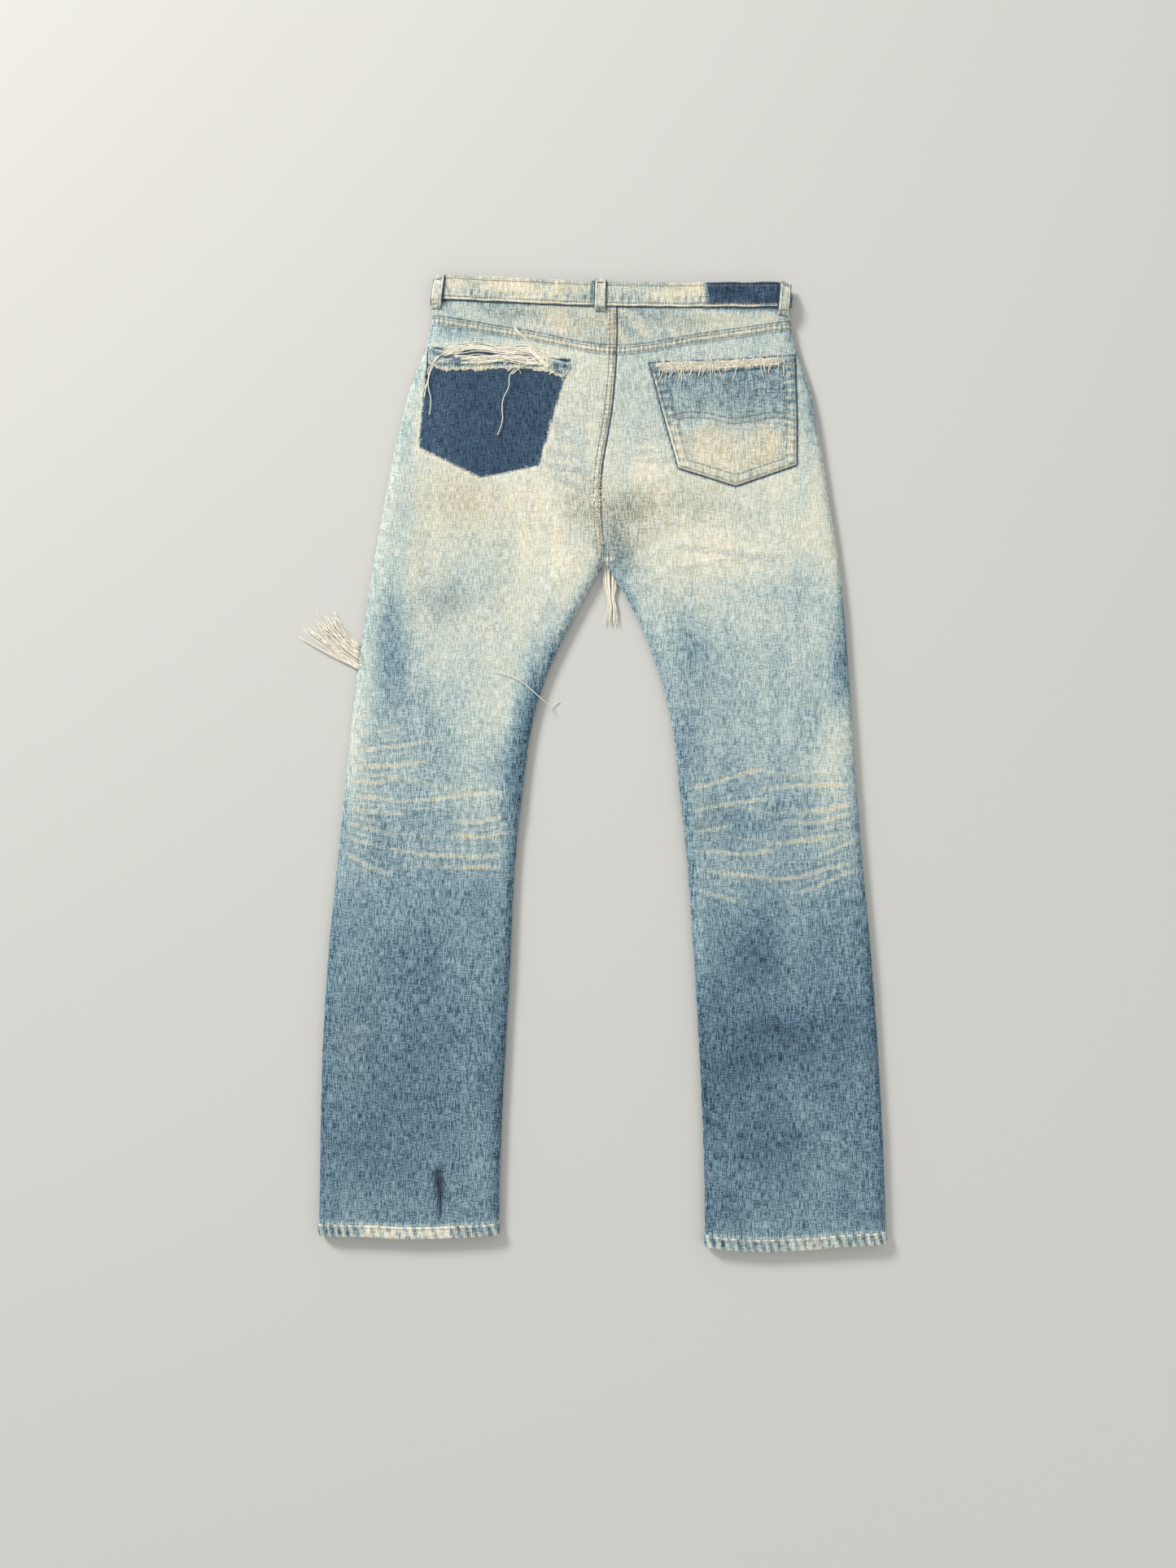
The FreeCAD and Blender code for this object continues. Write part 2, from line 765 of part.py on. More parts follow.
def make_rivets():
    """Caps set into the outer cloth, and burrs clenched on the inside."""
    centres = front_rivets("left") + front_rivets("right") + COIN_RIVETS
    denim = size("denim")
    caps = []
    burrs = []
    for x_formula, row_formula in centres:
        spot = Vector(size(x_formula), size(row_formula), 0)
        cap = Part.makeCylinder(size("rivet_radius"), denim, spot)
        shank_length = 2 * denim + size("burr_thickness")
        shank = Part.makeCylinder(size("nail_radius"), shank_length, spot)
        caps.append(cap.fuse(shank).removeSplitter())
        top = spot + Vector(0, 0, 2 * denim)
        ring = Part.makeCylinder(size("burr_radius"), size("burr_thickness"), top)
        burrs.append(ring.cut(shank))
    group("rivet_caps", caps)
    group("rivet_burrs", burrs)


# ------------------------------------------------------------------ repairs

def make_seat_patches():
    """Repair cloth sewn inside the seat under the darned areas."""
    low = "cloth_height - denim - patch_cloth"
    left = rectangle("patch_left_x", "no_size - patch_centre_gap",
                     "patch_low_row", "patch_top_row")
    flat_piece("seat_patch_left", left, low, "patch_cloth")
    right = rectangle("seam_top_x + patch_centre_gap", "patch_right_x",
                      "patch_low_row", "patch_top_row")
    flat_piece("seat_patch_right", right, low, "patch_cloth")


# ------------------------------------------------------------------ loose yarn

# Each thread's route, point by point, from where it leaves the cloth.
CENTRE_THREAD = [
    (-92, 464, 16.4), (-101, 456, 16.4), (-109, 446, 16.6), (-108, 433, 15.4),
    (-116, 420, 15.0), (-117, 405, 15.0), (-115, 392, 15.0), (-122, 376, 15.0),
]
SIDE_THREAD = [
    (-174, 466, 16.4), (-187, 466, 16.4), (-197, 459, 16.6), (-203, 447, 15.6),
    (-204, 432, 15.0), (-199, 417, 15.0), (-202, 400, 15.0),
]
THIGH_THREAD = [
    (-128, 99, 15.0), (-112, 95, 15.0), (-96, 88, 15.0), (-83, 77, 15.2), (-72, 67, 16.4),
    (-64, 61, 11), (-62, 58, 4), (-57, 59, 1.2), (-50, 64, 0.9),
]
YARN_LIFT = 0.3
BUNDLE_HALF = 4
BUNDLE_ROUTE = [(-188, 474), (-166, 476), (-127, 474), (-84, 474), (-62, 459)]
SIDE_TUFT = [(-288, 98), (-288, 133), (-327, 168), (-345, 153), (-322, 116)]
CROTCH_TUFT = [(3, 216), (9, 216), (17, 190), (21, 153), (5, 153), (4, 190)]


def rounded_route(points):
    """Straight runs joined by tangent arcs, as large as the runs allow."""
    spots = [Vector(*point) for point in points]
    edges = []
    radii = []
    start = spots[0]
    for before, corner, after in zip(spots, spots[1:], spots[2:]):
        run_in = (corner - before).normalize()
        run_out = (after - corner).normalize()
        turn = run_in.getAngle(run_out)
        reach = 0.45 * min(corner.distanceToPoint(before), corner.distanceToPoint(after))
        radii.append(reach / math.tan(turn / 2))
        arc_start = corner - run_in * reach
        arc_end = corner + run_out * reach
        inward = (run_out - run_in).normalize()
        sagitta = radii[-1] * (1 / math.cos(turn / 2) - 1)
        edges.append(Part.LineSegment(start, arc_start).toShape())
        edges.append(Part.Arc(arc_start, corner + inward * sagitta, arc_end).toShape())
        start = arc_end
    edges.append(Part.LineSegment(start, spots[-1]).toShape())
    return Part.Wire(edges), radii


def thread(label, points):
    """One loose yarn, a round tube along its route."""
    path, radii = rounded_route(points)
    radius = size("thread_thickness") / 2
    start = Vector(*points[0])
    tangent = Vector(*points[1]) - start
    ring = Part.Wire(Part.makeCircle(radius, start, tangent))
    tube = path.makePipeShell([ring], True, False)
    expected = math.pi * radius ** 2 * path.Length
    feature = doc.addObject("Part::Feature", label)
    feature.Label = label
    feature.Shape = tube
    print(label, "length", round(path.Length, 1), "volume ratio",
          round(tube.Volume / expected, 3), "radii", [round(item, 1) for item in radii])
    return feature


def slab(label, outline, low, thickness):
    """A flat tuft of many fine yarns, as one closed solid."""
    spots = [Vector(x, y, low) for x, y in outline]
    face = Part.Face(Part.makePolygon(spots + spots[:1]))
    feature = doc.addObject("Part::Feature", label)
    feature.Label = label
    feature.Shape = face.extrude(Vector(0, 0, thickness))
    return feature


def make_loose_yarn():
    thread("pocket_thread_centre", CENTRE_THREAD)
    thread("pocket_thread_side", SIDE_THREAD)
    thread("thigh_thread", THIGH_THREAD)
    top = size("cloth_height + remnant_cloth")
    upper = [(x, y + BUNDLE_HALF) for x, y in BUNDLE_ROUTE]
    lower = [(x, y - BUNDLE_HALF) for x, y in reversed(BUNDLE_ROUTE)]
    slab("pocket_yarn_bundle", upper + lower, top + YARN_LIFT, size("bundle_thickness"))
    slab("side_tuft", SIDE_TUFT, YARN_LIFT, size("side_tuft_thickness"))
    slab("crotch_tuft", CROTCH_TUFT, YARN_LIFT, size("crotch_tuft_thickness"))


# ------------------------------------------------------------------ checks and files

def check_and_export():
    doc.recompute()
    nodes = [item for item in doc.Objects
             if item.TypeId in ("PartDesign::Body", "Part::Feature")]
    for item in doc.Objects:
        if "Invalid" in item.State or "Error" in item.State:
            raise RuntimeError(f"{item.Label} failed: {item.State}")
    for node in nodes:
        if node.Shape.isNull() or not node.Shape.isValid():
            raise RuntimeError(f"{node.Label} has no valid shape")
    os.makedirs("parts", exist_ok=True)
    for node in nodes:
        node.Shape.exportStep(f"parts/{node.Label}.step")
    print(len(nodes), "nodes")


fill_sheet()
make_back_panels()
make_yokes()
make_front_panels()
make_seams()
make_hems()
make_waistband()
make_waistband_facing()
make_belt_loops()
make_back_pocket()
make_pocket_remnant()
make_front_pockets()
make_fly()
make_buttons()
make_rivets()
make_seat_patches()
make_loose_yarn()
check_and_export()
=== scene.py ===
"""Worn five-pocket jeans lying back side up: the cloth, thread and metal around the CAD frame.

Shapes are worked out in millimetres in the part's own frame and written to
Blender in metres.  A 'level' is how worn the indigo is: 0 dark, 1 bare cotton.
In places a lower level is painted shade rather than wear.
"""

import math

import bpy
import numpy as np
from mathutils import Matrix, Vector


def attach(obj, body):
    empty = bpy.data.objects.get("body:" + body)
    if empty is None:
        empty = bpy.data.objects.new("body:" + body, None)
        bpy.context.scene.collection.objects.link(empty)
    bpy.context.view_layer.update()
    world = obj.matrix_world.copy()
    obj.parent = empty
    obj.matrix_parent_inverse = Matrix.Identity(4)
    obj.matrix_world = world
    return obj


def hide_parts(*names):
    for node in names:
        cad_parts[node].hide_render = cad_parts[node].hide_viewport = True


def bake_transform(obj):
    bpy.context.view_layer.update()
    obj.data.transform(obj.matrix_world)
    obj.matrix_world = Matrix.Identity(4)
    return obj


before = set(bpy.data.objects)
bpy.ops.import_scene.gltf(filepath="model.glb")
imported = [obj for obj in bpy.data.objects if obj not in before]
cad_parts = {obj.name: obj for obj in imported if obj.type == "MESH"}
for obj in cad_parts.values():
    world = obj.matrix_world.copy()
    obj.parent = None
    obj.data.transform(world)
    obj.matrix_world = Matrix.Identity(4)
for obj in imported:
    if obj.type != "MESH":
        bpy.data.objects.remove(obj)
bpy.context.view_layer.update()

MM = 0.001
RNG = np.random.default_rng(7)
SIDES = ("left", "right")
NOISE_CELLS = (97, 89)
SHOULDER = 2.5


# ------------------------------------------------------------------ camera, light, floor

def look_from_above():
    camera = bpy.data.objects.new("camera", bpy.data.cameras.new("camera"))
    bpy.context.collection.objects.link(camera)
    camera.location = (-0.016, -0.1047, 1.3735)
    camera.rotation_euler = (math.radians(3.0), 0, 0)
    camera.data.lens = 27.09
    camera.data.sensor_width = 36
    bpy.context.scene.camera = camera


def area_light(name, place, size, power, colour):
    """A soft rectangular lamp aimed at the middle of the object."""
    lamp = bpy.data.lights.new(name, "AREA")
    lamp.shape = "RECTANGLE"
    lamp.size, lamp.size_y = size
    lamp.energy = power
    lamp.color = colour
    light = bpy.data.objects.new(name, lamp)
    light.location = place
    light.rotation_euler = (-Vector(place)).to_track_quat("-Z", "Y").to_euler()
    bpy.context.collection.objects.link(light)


def set_up_studio():
    area_light("key", (-3.2, 3.35, 2.6), (1.2, 1.2), 292, (1, 0.98, 0.94))
    area_light("fill", (1.6, -1.6, 1.8), (2.0, 2.0), 12, (0.97, 0.99, 1))
    world = bpy.data.worlds.new("studio")
    world.use_nodes = True
    background = world.node_tree.nodes["Background"]
    background.inputs["Color"].default_value = (1, 0.99, 0.97, 1)
    background.inputs["Strength"].default_value = 0.62
    bpy.context.scene.world = world
    bpy.context.scene.view_settings.view_transform = "Standard"
    bpy.ops.mesh.primitive_plane_add(size=14, location=(0, 0, -0.0004))
    floor = bpy.context.object
    floor.name = "studio_floor"
    paint = bpy.data.materials.new("floor_paint")
    paint.use_nodes = True
    shader = paint.node_tree.nodes["Principled BSDF"]
    shader.inputs["Base Color"].default_value = (0.55, 0.55, 0.53, 1)
    shader.inputs["Roughness"].default_value = 0.9
    floor.data.materials.append(paint)


# ------------------------------------------------------------------ numbers and noise

def curve(stations):
    """A smooth curve through (position, value) stations."""
    places, values = np.array(sorted(stations), float).T
    slopes = np.gradient(values, places)

    def at(place):
        place = np.clip(place, places[0], places[-1])
        i = np.clip(np.searchsorted(places, place) - 1, 0, len(places) - 2)
        gap = places[i + 1] - places[i]
        t = (place - places[i]) / gap
        rise = (values[i + 1] - values[i]) * (3 * t ** 2 - 2 * t ** 3)
        bend = gap * (slopes[i] * (t ** 3 - 2 * t ** 2 + t) + slopes[i + 1] * (t ** 3 - t ** 2))
        return values[i] + rise + bend
    return at


def mottle(x, y, cell_x, cell_y, seed):
    """Smooth lattice noise from -1 to 1 with cells of the given size."""
    grid = np.random.default_rng(seed).uniform(-1, 1, NOISE_CELLS)
    gx, gy = x / cell_x + 31.7, y / cell_y + 57.3
    ix, iy = np.floor(gx).astype(int), np.floor(gy).astype(int)
    fx, fy = gx - ix, gy - iy
    fx, fy = fx * fx * (3 - 2 * fx), fy * fy * (3 - 2 * fy)
    ix0, ix1 = ix % NOISE_CELLS[0], (ix + 1) % NOISE_CELLS[0]
    iy0, iy1 = iy % NOISE_CELLS[1], (iy + 1) % NOISE_CELLS[1]
    low = grid[ix0, iy0] * (1 - fx) + grid[ix1, iy0] * fx
    high = grid[ix0, iy1] * (1 - fx) + grid[ix1, iy1] * fx
    return low * (1 - fy) + high * fy


def step(low, high, value):
    t = np.clip((value - low) / (high - low), 0, 1)
    return t * t * (3 - 2 * t)


def ridge(value, middle, width):
    """A soft ridge, 1 where the value is at its middle."""
    return np.exp(-((value - middle) / width) ** 2)


def rounded(gap, reach):
    """The rounded shoulder of a fold: 0 at its edge, 1 from its reach inwards."""
    lift = 1 - np.clip(gap / reach, 0, 1)
    return (1 - lift ** SHOULDER) ** (1 / SHOULDER)


def blob(x, y, centre, radii, turn=0.0):
    """A soft elliptical spot, 1 in the middle."""
    angle = math.radians(turn)
    dx, dy = x - centre[0], y - centre[1]
    u = (dx * math.cos(angle) + dy * math.sin(angle)) / radii[0]
    v = (dy * math.cos(angle) - dx * math.sin(angle)) / radii[1]
    return np.exp(-(u * u + v * v))


def along_line(x, y, points):
    """Distance from a chain of straight runs, and how far along it (0 to 1)."""
    points = np.array(points, float)
    runs = np.hypot(*np.diff(points, axis=0).T)
    total, done = runs.sum(), 0.0
    best = np.full(np.shape(x), np.inf)
    where = np.zeros(np.shape(x))
    for start, end, run in zip(points, points[1:], runs):
        t = ((x - start[0]) * (end[0] - start[0]) + (y - start[1]) * (end[1] - start[1])) / run ** 2
        t = np.clip(t, 0, 1)
        gap = np.hypot(x - start[0] - t * (end[0] - start[0]), y - start[1] - t * (end[1] - start[1]))
        nearer = gap < best
        best = np.where(nearer, gap, best)
        where = np.where(nearer, (done + t * run) / total, where)
        done += run
    return best, where


def inside_distance(x, y, corners):
    """Distance inside a convex outline, negative outside; corners run clockwise."""
    corners = np.array(corners, float)
    best = np.full(np.shape(x), np.inf)
    for start, end in zip(corners, np.roll(corners, -1, axis=0)):
        way = (end - start) / np.hypot(*(end - start))
        best = np.minimum(best, (x - start[0]) * way[1] - (y - start[1]) * way[0])
    return best


# ------------------------------------------------------------------ the garment's lines

HEM_ROW = {"left": -535, "right": -547}
CROTCH = (3.0, 228.0)
KNEE_ROW = -70

CAD_CORNERS = {
    name: np.array([tuple(corner.co) for corner in node.data.vertices]) / MM
    for name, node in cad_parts.items()
}


def cad_corners(nodes, keep):
    """The corners of CAD nodes that keep(x, y) accepts."""
    corners = np.concatenate([CAD_CORNERS[name] for name in nodes])
    return corners[keep(corners[:, 0], corners[:, 1])]


def cad_rows(pick, nodes, keep):
    """A (row, x) station for each row of those corners."""
    corners = cad_corners(nodes, keep)
    rows = corners[:, 1].round()
    return [(row, pick(corners[rows == row, 0])) for row in np.unique(rows)]


def cad_line(nodes, keep):
    """The (x, row) of each of those corners, from left to right."""
    return sorted({(round(x), round(y)) for x, y in cad_corners(nodes, keep)[:, :2].tolist()})


def leg_nodes(kind, side):
    return (f"{kind}_{side}_upper", f"{kind}_{side}_lower", f"hem_{side}")


# Corners past SIDE_X belong to a side; the band folds over above BAND_FOLD_ROW.
SIDE_X = 100
BAND_FOLD_ROW = 545
OUTER = {
    "left": curve(
        cad_rows(np.min, leg_nodes("outseam", "left"), lambda x, y: x < -SIDE_X)
        + cad_rows(np.min, ["waistband"], lambda x, y: (x < -SIDE_X) & (y > BAND_FOLD_ROW))
    ),
    "right": curve(
        cad_rows(np.max, leg_nodes("outseam", "right"), lambda x, y: x > SIDE_X)
        + cad_rows(np.max, ["waistband"], lambda x, y: (x > SIDE_X) & (y > BAND_FOLD_ROW))
    ),
}
INNER = {
    "left": curve(cad_rows(np.max, leg_nodes("inseam", "left"), lambda x, y: x > -200)),
    "right": curve(cad_rows(np.min, leg_nodes("inseam", "right"), lambda x, y: x < 200)),
}
SEAT_SEAM = curve(cad_rows(np.max, ["back_panel_left_upper"], lambda x, y: (x > -60) & (y > 200))
                  + [(560, 17)])
YOKE_SEAM = curve(cad_line(["yoke_left", "yoke_right"], lambda x, y: y < 525))
BAND_LOW = curve(cad_line(["yoke_left", "yoke_right"], lambda x, y: y > 525))
BAND_TOP = curve([(-194, 570), (-2, 561), (218, 560)])


def inner_edge(side, y):
    return np.where(y < CROTCH[1], INNER[side](y), SEAT_SEAM(y))


def slope_factor(edge, y):
    slope = (edge(y + 3) - edge(y - 3)) / 6
    return 1 / np.sqrt(1 + slope ** 2)


def edge_distance(x, y):
    """How far a point lies in from the nearest side fold or inseam."""
    gap = np.minimum((x - OUTER["left"](y)) * slope_factor(OUTER["left"], y),
                     (OUTER["right"](y) - x) * slope_factor(OUTER["right"], y))
    left_gap = (INNER["left"](y) - x) * slope_factor(INNER["left"], y)
    right_gap = (x - INNER["right"](y)) * slope_factor(INNER["right"], y)
    below = np.where(x < CROTCH[0], left_gap, right_gap)
    above = np.hypot(x - CROTCH[0], y - CROTCH[1])
    return np.clip(np.minimum(gap, np.where(y < CROTCH[1], below, above)), 0, None)


# ------------------------------------------------------------------ the cloth's surface

EDGE_HEIGHT = 5.4
PLATEAU = 12.4
SIDE_ROUND = 19.0

# Soft folds as the cloth lies: middle, half length and half width, turn, height.
FOLDS = [
    ((-110, 524), (45, 5), -4, 0.6), ((70, 521), (50, 5), 3, 0.6), ((-60, 508), (40, 4), -8, -0.4),
    ((120, 510), (40, 4), 5, -0.4),
    ((-60, 190), (70, 9), 58, 0.7), ((60, 185), (75, 10), -62, 0.8), ((-28, 150), (50, 7), 62, -0.6),
    ((40, 262), (60, 12), 18, 0.7), ((30, 232), (50, 7), 25, -0.7), ((-40, 262), (45, 10), -20, 0.5),
    ((-210, 60), (14, 120), 4, 0.6), ((-180, -60), (90, 9), 6, 0.6), ((-240, -110), (60, 8), -12, 0.5),
    ((-160, -140), (50, 7), 4, -0.5), ((190, -55), (90, 9), 6, 0.6), ((230, -125), (70, 8), 14, 0.6),
    ((160, -150), (60, 8), -8, -0.5), ((-230, -320), (16, 110), 3, 0.5), ((-160, -430), (60, 14), 30, -0.5),
    ((240, -300), (80, 15), 35, 0.7), ((170, -390), (70, 14), 28, -0.7), ((250, -450), (60, 14), 24, 0.5),
    ((100, 440), (14, 60), 8, 0.4), ((-20, 440), (16, 60), 0, 0.4), ((130, 228), (80, 4), 12, 0.5),
    ((-150, 480), (60, 8), -8, 0.4), ((150, 30), (16, 90), -5, -0.5), ((230, 60), (18, 90), -3, 0.5),
]


def lie(x, y):
    """Gentle unevenness of cloth lying on its own second layer."""
    height = 0.6 * mottle(x, y, 90, 140, 3) + 0.4 * mottle(x, y, 34, 46, 4)
    for centre, radii, turn, amount in FOLDS:
        height = height + 1.5 * amount * blob(x, y, centre, radii, turn)
    return height + 0.10 * mottle(x, y, 9, 11, 5)


def felled(gap, along, width, wave, seed):
    """A flat-felled ridge lying from 0 to its width, with its puckers."""
    pucker = 0.85 + 0.22 * np.sin(along * 2 * np.pi / wave + 2.5 * mottle(along, gap * 0, 23, 9, seed))
    rows = ridge(gap, 2.2, 0.9) + ridge(gap, 7.6, 0.9)
    return 1.15 * step(-0.5, 0.6, gap) * step(width + 1, width - 1, gap) * (pucker - 0.3 * rows)


def seams_above(x, y):
    """The raised seams of the seat: the centre seam and the yoke seam."""
    gap = SEAT_SEAM(y) - x
    raised = felled(gap, y, 9.5, 5.6, 11) * step(232, 246, y)
    groove = 0.7 * ridge(gap, -1.6, 1.2) * step(250, 300, y)
    below = YOKE_SEAM(x) - y
    return raised - groove + felled(below, x, 9.5, 5.6, 12)


def inseam_rolls(x, y):
    """Puckers where the felled inseams turn under the inner edges."""
    left = (INNER["left"](y) - x) * slope_factor(INNER["left"], y)
    right = (x - INNER["right"](y)) * slope_factor(INNER["right"], y)
    gap = np.where(x < CROTCH[0], left, right)
    wave = np.sin(y * 2 * np.pi / 13 + 2.5 * mottle(x * 0, y, 9, 29, 13))
    return np.where(y < CROTCH[1], 0.35 * wave * ridge(gap, 5, 7), 0)


def back_z(x, y):
    """Top of the back layer, in millimetres above the floor."""
    rounding = rounded(edge_distance(x, y), SIDE_ROUND)
    top = PLATEAU + lie(x, y) + inseam_rolls(x, y)
    return EDGE_HEIGHT + (top - EDGE_HEIGHT) * rounding + seams_above(x, y) * rounding


def front_z(x, y):
    """Underside of the front layer, lying on the floor."""
    rounding = rounded(edge_distance(x, y), SIDE_ROUND)
    return 0.3 + (EDGE_HEIGHT - 0.3) * (1 - rounding) + 0.15 * (1 + mottle(x, y, 40, 60, 21))


# ------------------------------------------------------------------ wear and colour

# The stop at -0.5 gives the near-black of painted shadow, as in the torn slit's opening.
LEVELS = (-0.5, -0.1, 0, 0.25, 0.5, 0.75, 1.0, 1.15)
DYES = np.array([
    (14, 24, 38), (30, 52, 76), (46, 72, 96), (80, 111, 129),
    (120, 147, 158), (181, 194, 190), (226, 220, 199), (238, 233, 215),
]) / 255


def dye(level, stain=0.0):
    """The colour of denim worn to a level, pulled to grey-brown by a stain."""
    colour = np.stack([np.interp(level, LEVELS, DYES[:, i]) for i in range(3)], axis=-1)
    dirt = np.array((0.55, 0.49, 0.37))
    stain = np.clip(np.asarray(stain, float), 0, 1)[..., None]
    return colour * (1 - stain) + dirt * stain


def yarn_streaks(x, y):
    """Uneven warp and weft yarns, seen as fine streaks."""
    warp = 0.034 * mottle(x, y, 2.2, 24, 31) + 0.020 * mottle(x, y, 5.5, 90, 32)
    weft = 0.030 * mottle(x, y, 20, 2.4, 33) + 0.034 * mottle(x, y, 3.4, 3.8, 36)
    cloud = 0.045 * mottle(x, y, 14, 44, 34) + 0.045 * mottle(x, y, 60, 70, 35)
    return warp + weft + cloud


LEG_WEAR = {
    "left": curve([
        (-560, 0.42), (-520, 0.37), (-440, 0.29), (-350, 0.32), (-200, 0.43), (-100, 0.59),
        (0, 0.69), (130, 0.78), (200, 0.85), (300, 0.89), (400, 0.88), (520, 0.78),
    ]),
    "right": curve([
        (-560, 0.46), (-520, 0.38), (-440, 0.29), (-350, 0.27), (-220, 0.35), (-140, 0.52),
        (0, 0.65), (160, 0.73), (210, 0.84), (350, 0.88), (430, 0.70), (520, 0.76),
    ]),
}

# Worn places on the back, and painted light and shade on some folds at the waist and across the right shin:
# middle, half sizes, turn, change of level.
WEAR_AND_SHADE_SPOTS = [
    # left side
    ((-48, 105), (22, 75), -24, -0.34), ((-88, 20), (16, 90), -8, -0.34),
    ((-100, -120), (9, 150), 0, -0.10), ((-247, 120), (18, 90), -5, -0.09),
    ((-288, 20), (14, 110), -5, 0.09), ((-225, 20), (20, 70), -5, -0.06),
    ((-200, 188), (52, 30), 10, -0.07), ((-236, 260), (16, 60), -6, -0.14),
    ((-150, 250), (46, 60), 0, 0.05), ((-80, 235), (40, 55), 20, 0.08), ((-20, 380), (22, 60), 0, -0.04),
    ((-250, 150), (18, 60), -5, -0.09), ((-100, 170), (30, 30), 0, 0.05), ((-130, 60), (26, 40), 0, 0.08),
    ((-175, 500), (40, 12), -8, -0.16), ((-60, 478), (40, 10), -5, 0.06),
    ((-215, 440), (9, 40), -12, -0.12), ((-282, -180), (16, 60), 0, -0.04),
    ((-255, -95), (12, 30), 0, -0.12), ((-180, -400), (50, 30), 20, -0.05),
    ((-140, -450), (16, 60), 0, 0.12), ((-290, -350), (14, 70), 0, 0.03),
    ((-182, -500), (9, 22), 0, -0.22), ((-235, -505), (60, 14), 0, 0.05),
    ((-200, -300), (60, 30), 10, 0.05), ((-155, -165), (32, 16), 12, -0.08),
    ((-227, 372), (8, 34), -8, -0.16), ((-150, 235), (50, 40), 0, -0.10),
    ((-240, 100), (24, 50), 0, -0.12), ((-160, 100), (26, 40), 0, -0.05),
    ((-190, 30), (44, 40), 0, -0.07), ((-22, 285), (18, 36), 0, -0.08), ((-180, -70), (34, 26), 0, -0.08),
    ((-180, -150), (36, 22), 0, -0.07), ((-200, -325), (40, 40), 0, -0.07),
    ((-180, 30), (26, 26), 0, -0.04), ((-200, -235), (36, 36), 0, -0.07), ((-60, 320), (36, 30), 0, 0.06),
    ((-180, 180), (24, 30), 0, -0.04), ((-110, 525), (50, 6), -4, -0.12), ((-60, 505), (40, 5), -7, 0.08),
    ((-180, 185), (60, 24), 0, -0.05),
    # right side
    ((20, 238), (17, 26), 20, -0.17), ((32, 289), (24, 19), 0, -0.20), ((12, 262), (14, 30), 0, -0.14),
    ((26, 190), (13, 40), 30, -0.20), ((272, 20), (22, 70), -4, 0.22), ((283, 120), (11, 80), -3, -0.20),
    ((150, 235), (60, 30), 8, 0.08), ((110, 130), (22, 36), 20, -0.10), ((95, 0), (14, 80), -6, -0.16),
    ((150, -75), (50, 34), 0, -0.08), ((105, 300), (46, 22), 0, -0.05), ((225, 225), (30, 40), 0, -0.08),
    ((245, 410), (9, 70), -6, -0.08), ((40, 420), (26, 50), 0, 0.06), ((62, 340), (24, 22), 0, 0.06),
    ((130, -220), (26, 60), 0, -0.04), ((112, -210), (8, 60), 0, 0.20), ((215, -225), (18, 60), 0, 0.16),
    ((188, -312), (62, 13), 6, -0.10), ((178, -348), (50, 16), 8, -0.14),
    ((215, -438), (60, 12), 20, -0.08), ((230, -400), (16, 50), 30, 0.12),
    ((255, -470), (24, 34), 0, 0.10), ((170, -450), (40, 60), 0, -0.05),
    ((175, -235), (40, 60), 5, -0.07), ((235, 500), (14, 20), 0, -0.20),
    ((240, 330), (10, 60), -6, -0.10), ((200, 190), (40, 20), 0, -0.10), ((130, -232), (22, 26), 0, 0.08),
    ((200, -232), (30, 24), 0, -0.08), ((272, 95), (14, 34), 0, -0.16), ((40, 268), (26, 24), 0, -0.07),
    ((25, 225), (18, 24), 0, -0.12), ((120, -150), (24, 24), 0, -0.06), ((205, -232), (36, 34), 0, -0.05),
    ((190, -150), (30, 20), 0, 0.04), ((140, -520), (22, 20), 0, -0.05), ((25, 222), (16, 20), 0, -0.06),
    ((190, -72), (95, 34), 0, -0.06), ((200, -318), (36, 15), 6, -0.12), ((130, -230), (18, 40), 0, 0.05),
    ((283, -240), (16, 50), 0, 0.05), ((200, 300), (36, 40), 0, -0.05), ((70, 522), (50, 6), 3, -0.12),
    ((150, 505), (40, 5), 5, 0.06), ((140, -515), (26, 22), 0, -0.10), ((60, 160), (18, 24), 0, 0.07),
]
STAINS = [
    ((34, 288), (34, 25), 0, 0.40), ((22, 245), (22, 30), 15, 0.30), ((-24, 290), (26, 34), 0, 0.24),
    ((105, 298), (50, 24), 0, 0.16), ((-180, 180), (34, 30), 0, 0.14), ((-160, 280), (30, 60), -8, 0.08),
    ((-215, 230), (14, 90), -6, 0.08), ((-120, 210), (16, 70), -10, 0.06), ((0, 440), (200, 60), 0, 0.05),
    ((120, -70), (24, 26), 0, 0.06),
    ((-160, 300), (60, 26), -10, 0.10), ((100, 190), (30, 30), 0, 0.06),
    ((-170, 300), (40, 40), 0, 0.06), ((-285, -330), (24, 46), 0, 0.07), ((-50, 520), (120, 14), 0, 0.05),
]

# Honeycomb fades behind the knees: for the outer and the inner fan of each leg, the first
# row, the number of creases, the first one's rise, the change of rise, and a phase.
KNEE_FANS = {
    "left": ((2, 8, 14, -6, 0.4), (-43, 5, -14, 4.5, 1.2)),
    "right": ((-37, 7, -4, -4.5, 2.0), (-41, 6, 24, -8, 0.2)),
}
CREASE_GAPS = (16, 23)


def knee_creases(side):
    """The crest of each crease: one fan from the outer fold, one from the inseam."""
    crests = []
    for fan, gap, edge in zip(KNEE_FANS[side], CREASE_GAPS, (OUTER[side], INNER[side])):
        first, count, rise, change, phase = fan
        inward = np.sign(INNER[side](KNEE_ROW) - OUTER[side](KNEE_ROW)) * (1 if edge is OUTER[side] else -1)
        for index in range(count):
            row = first - gap * index + 3 * math.sin(3.1 * index + phase)
            reach = 84 + 30 * math.sin(2.3 * index + phase)
            start = edge(row) + 5 * inward
            climb = rise + change * index
            bend = 3 * math.sin(1.7 * index + phase) - 2
            crests.append([(start, row), (start + 0.55 * reach * inward, row + 0.55 * climb + bend),
                           (start + reach * inward, row + climb)])
    return crests


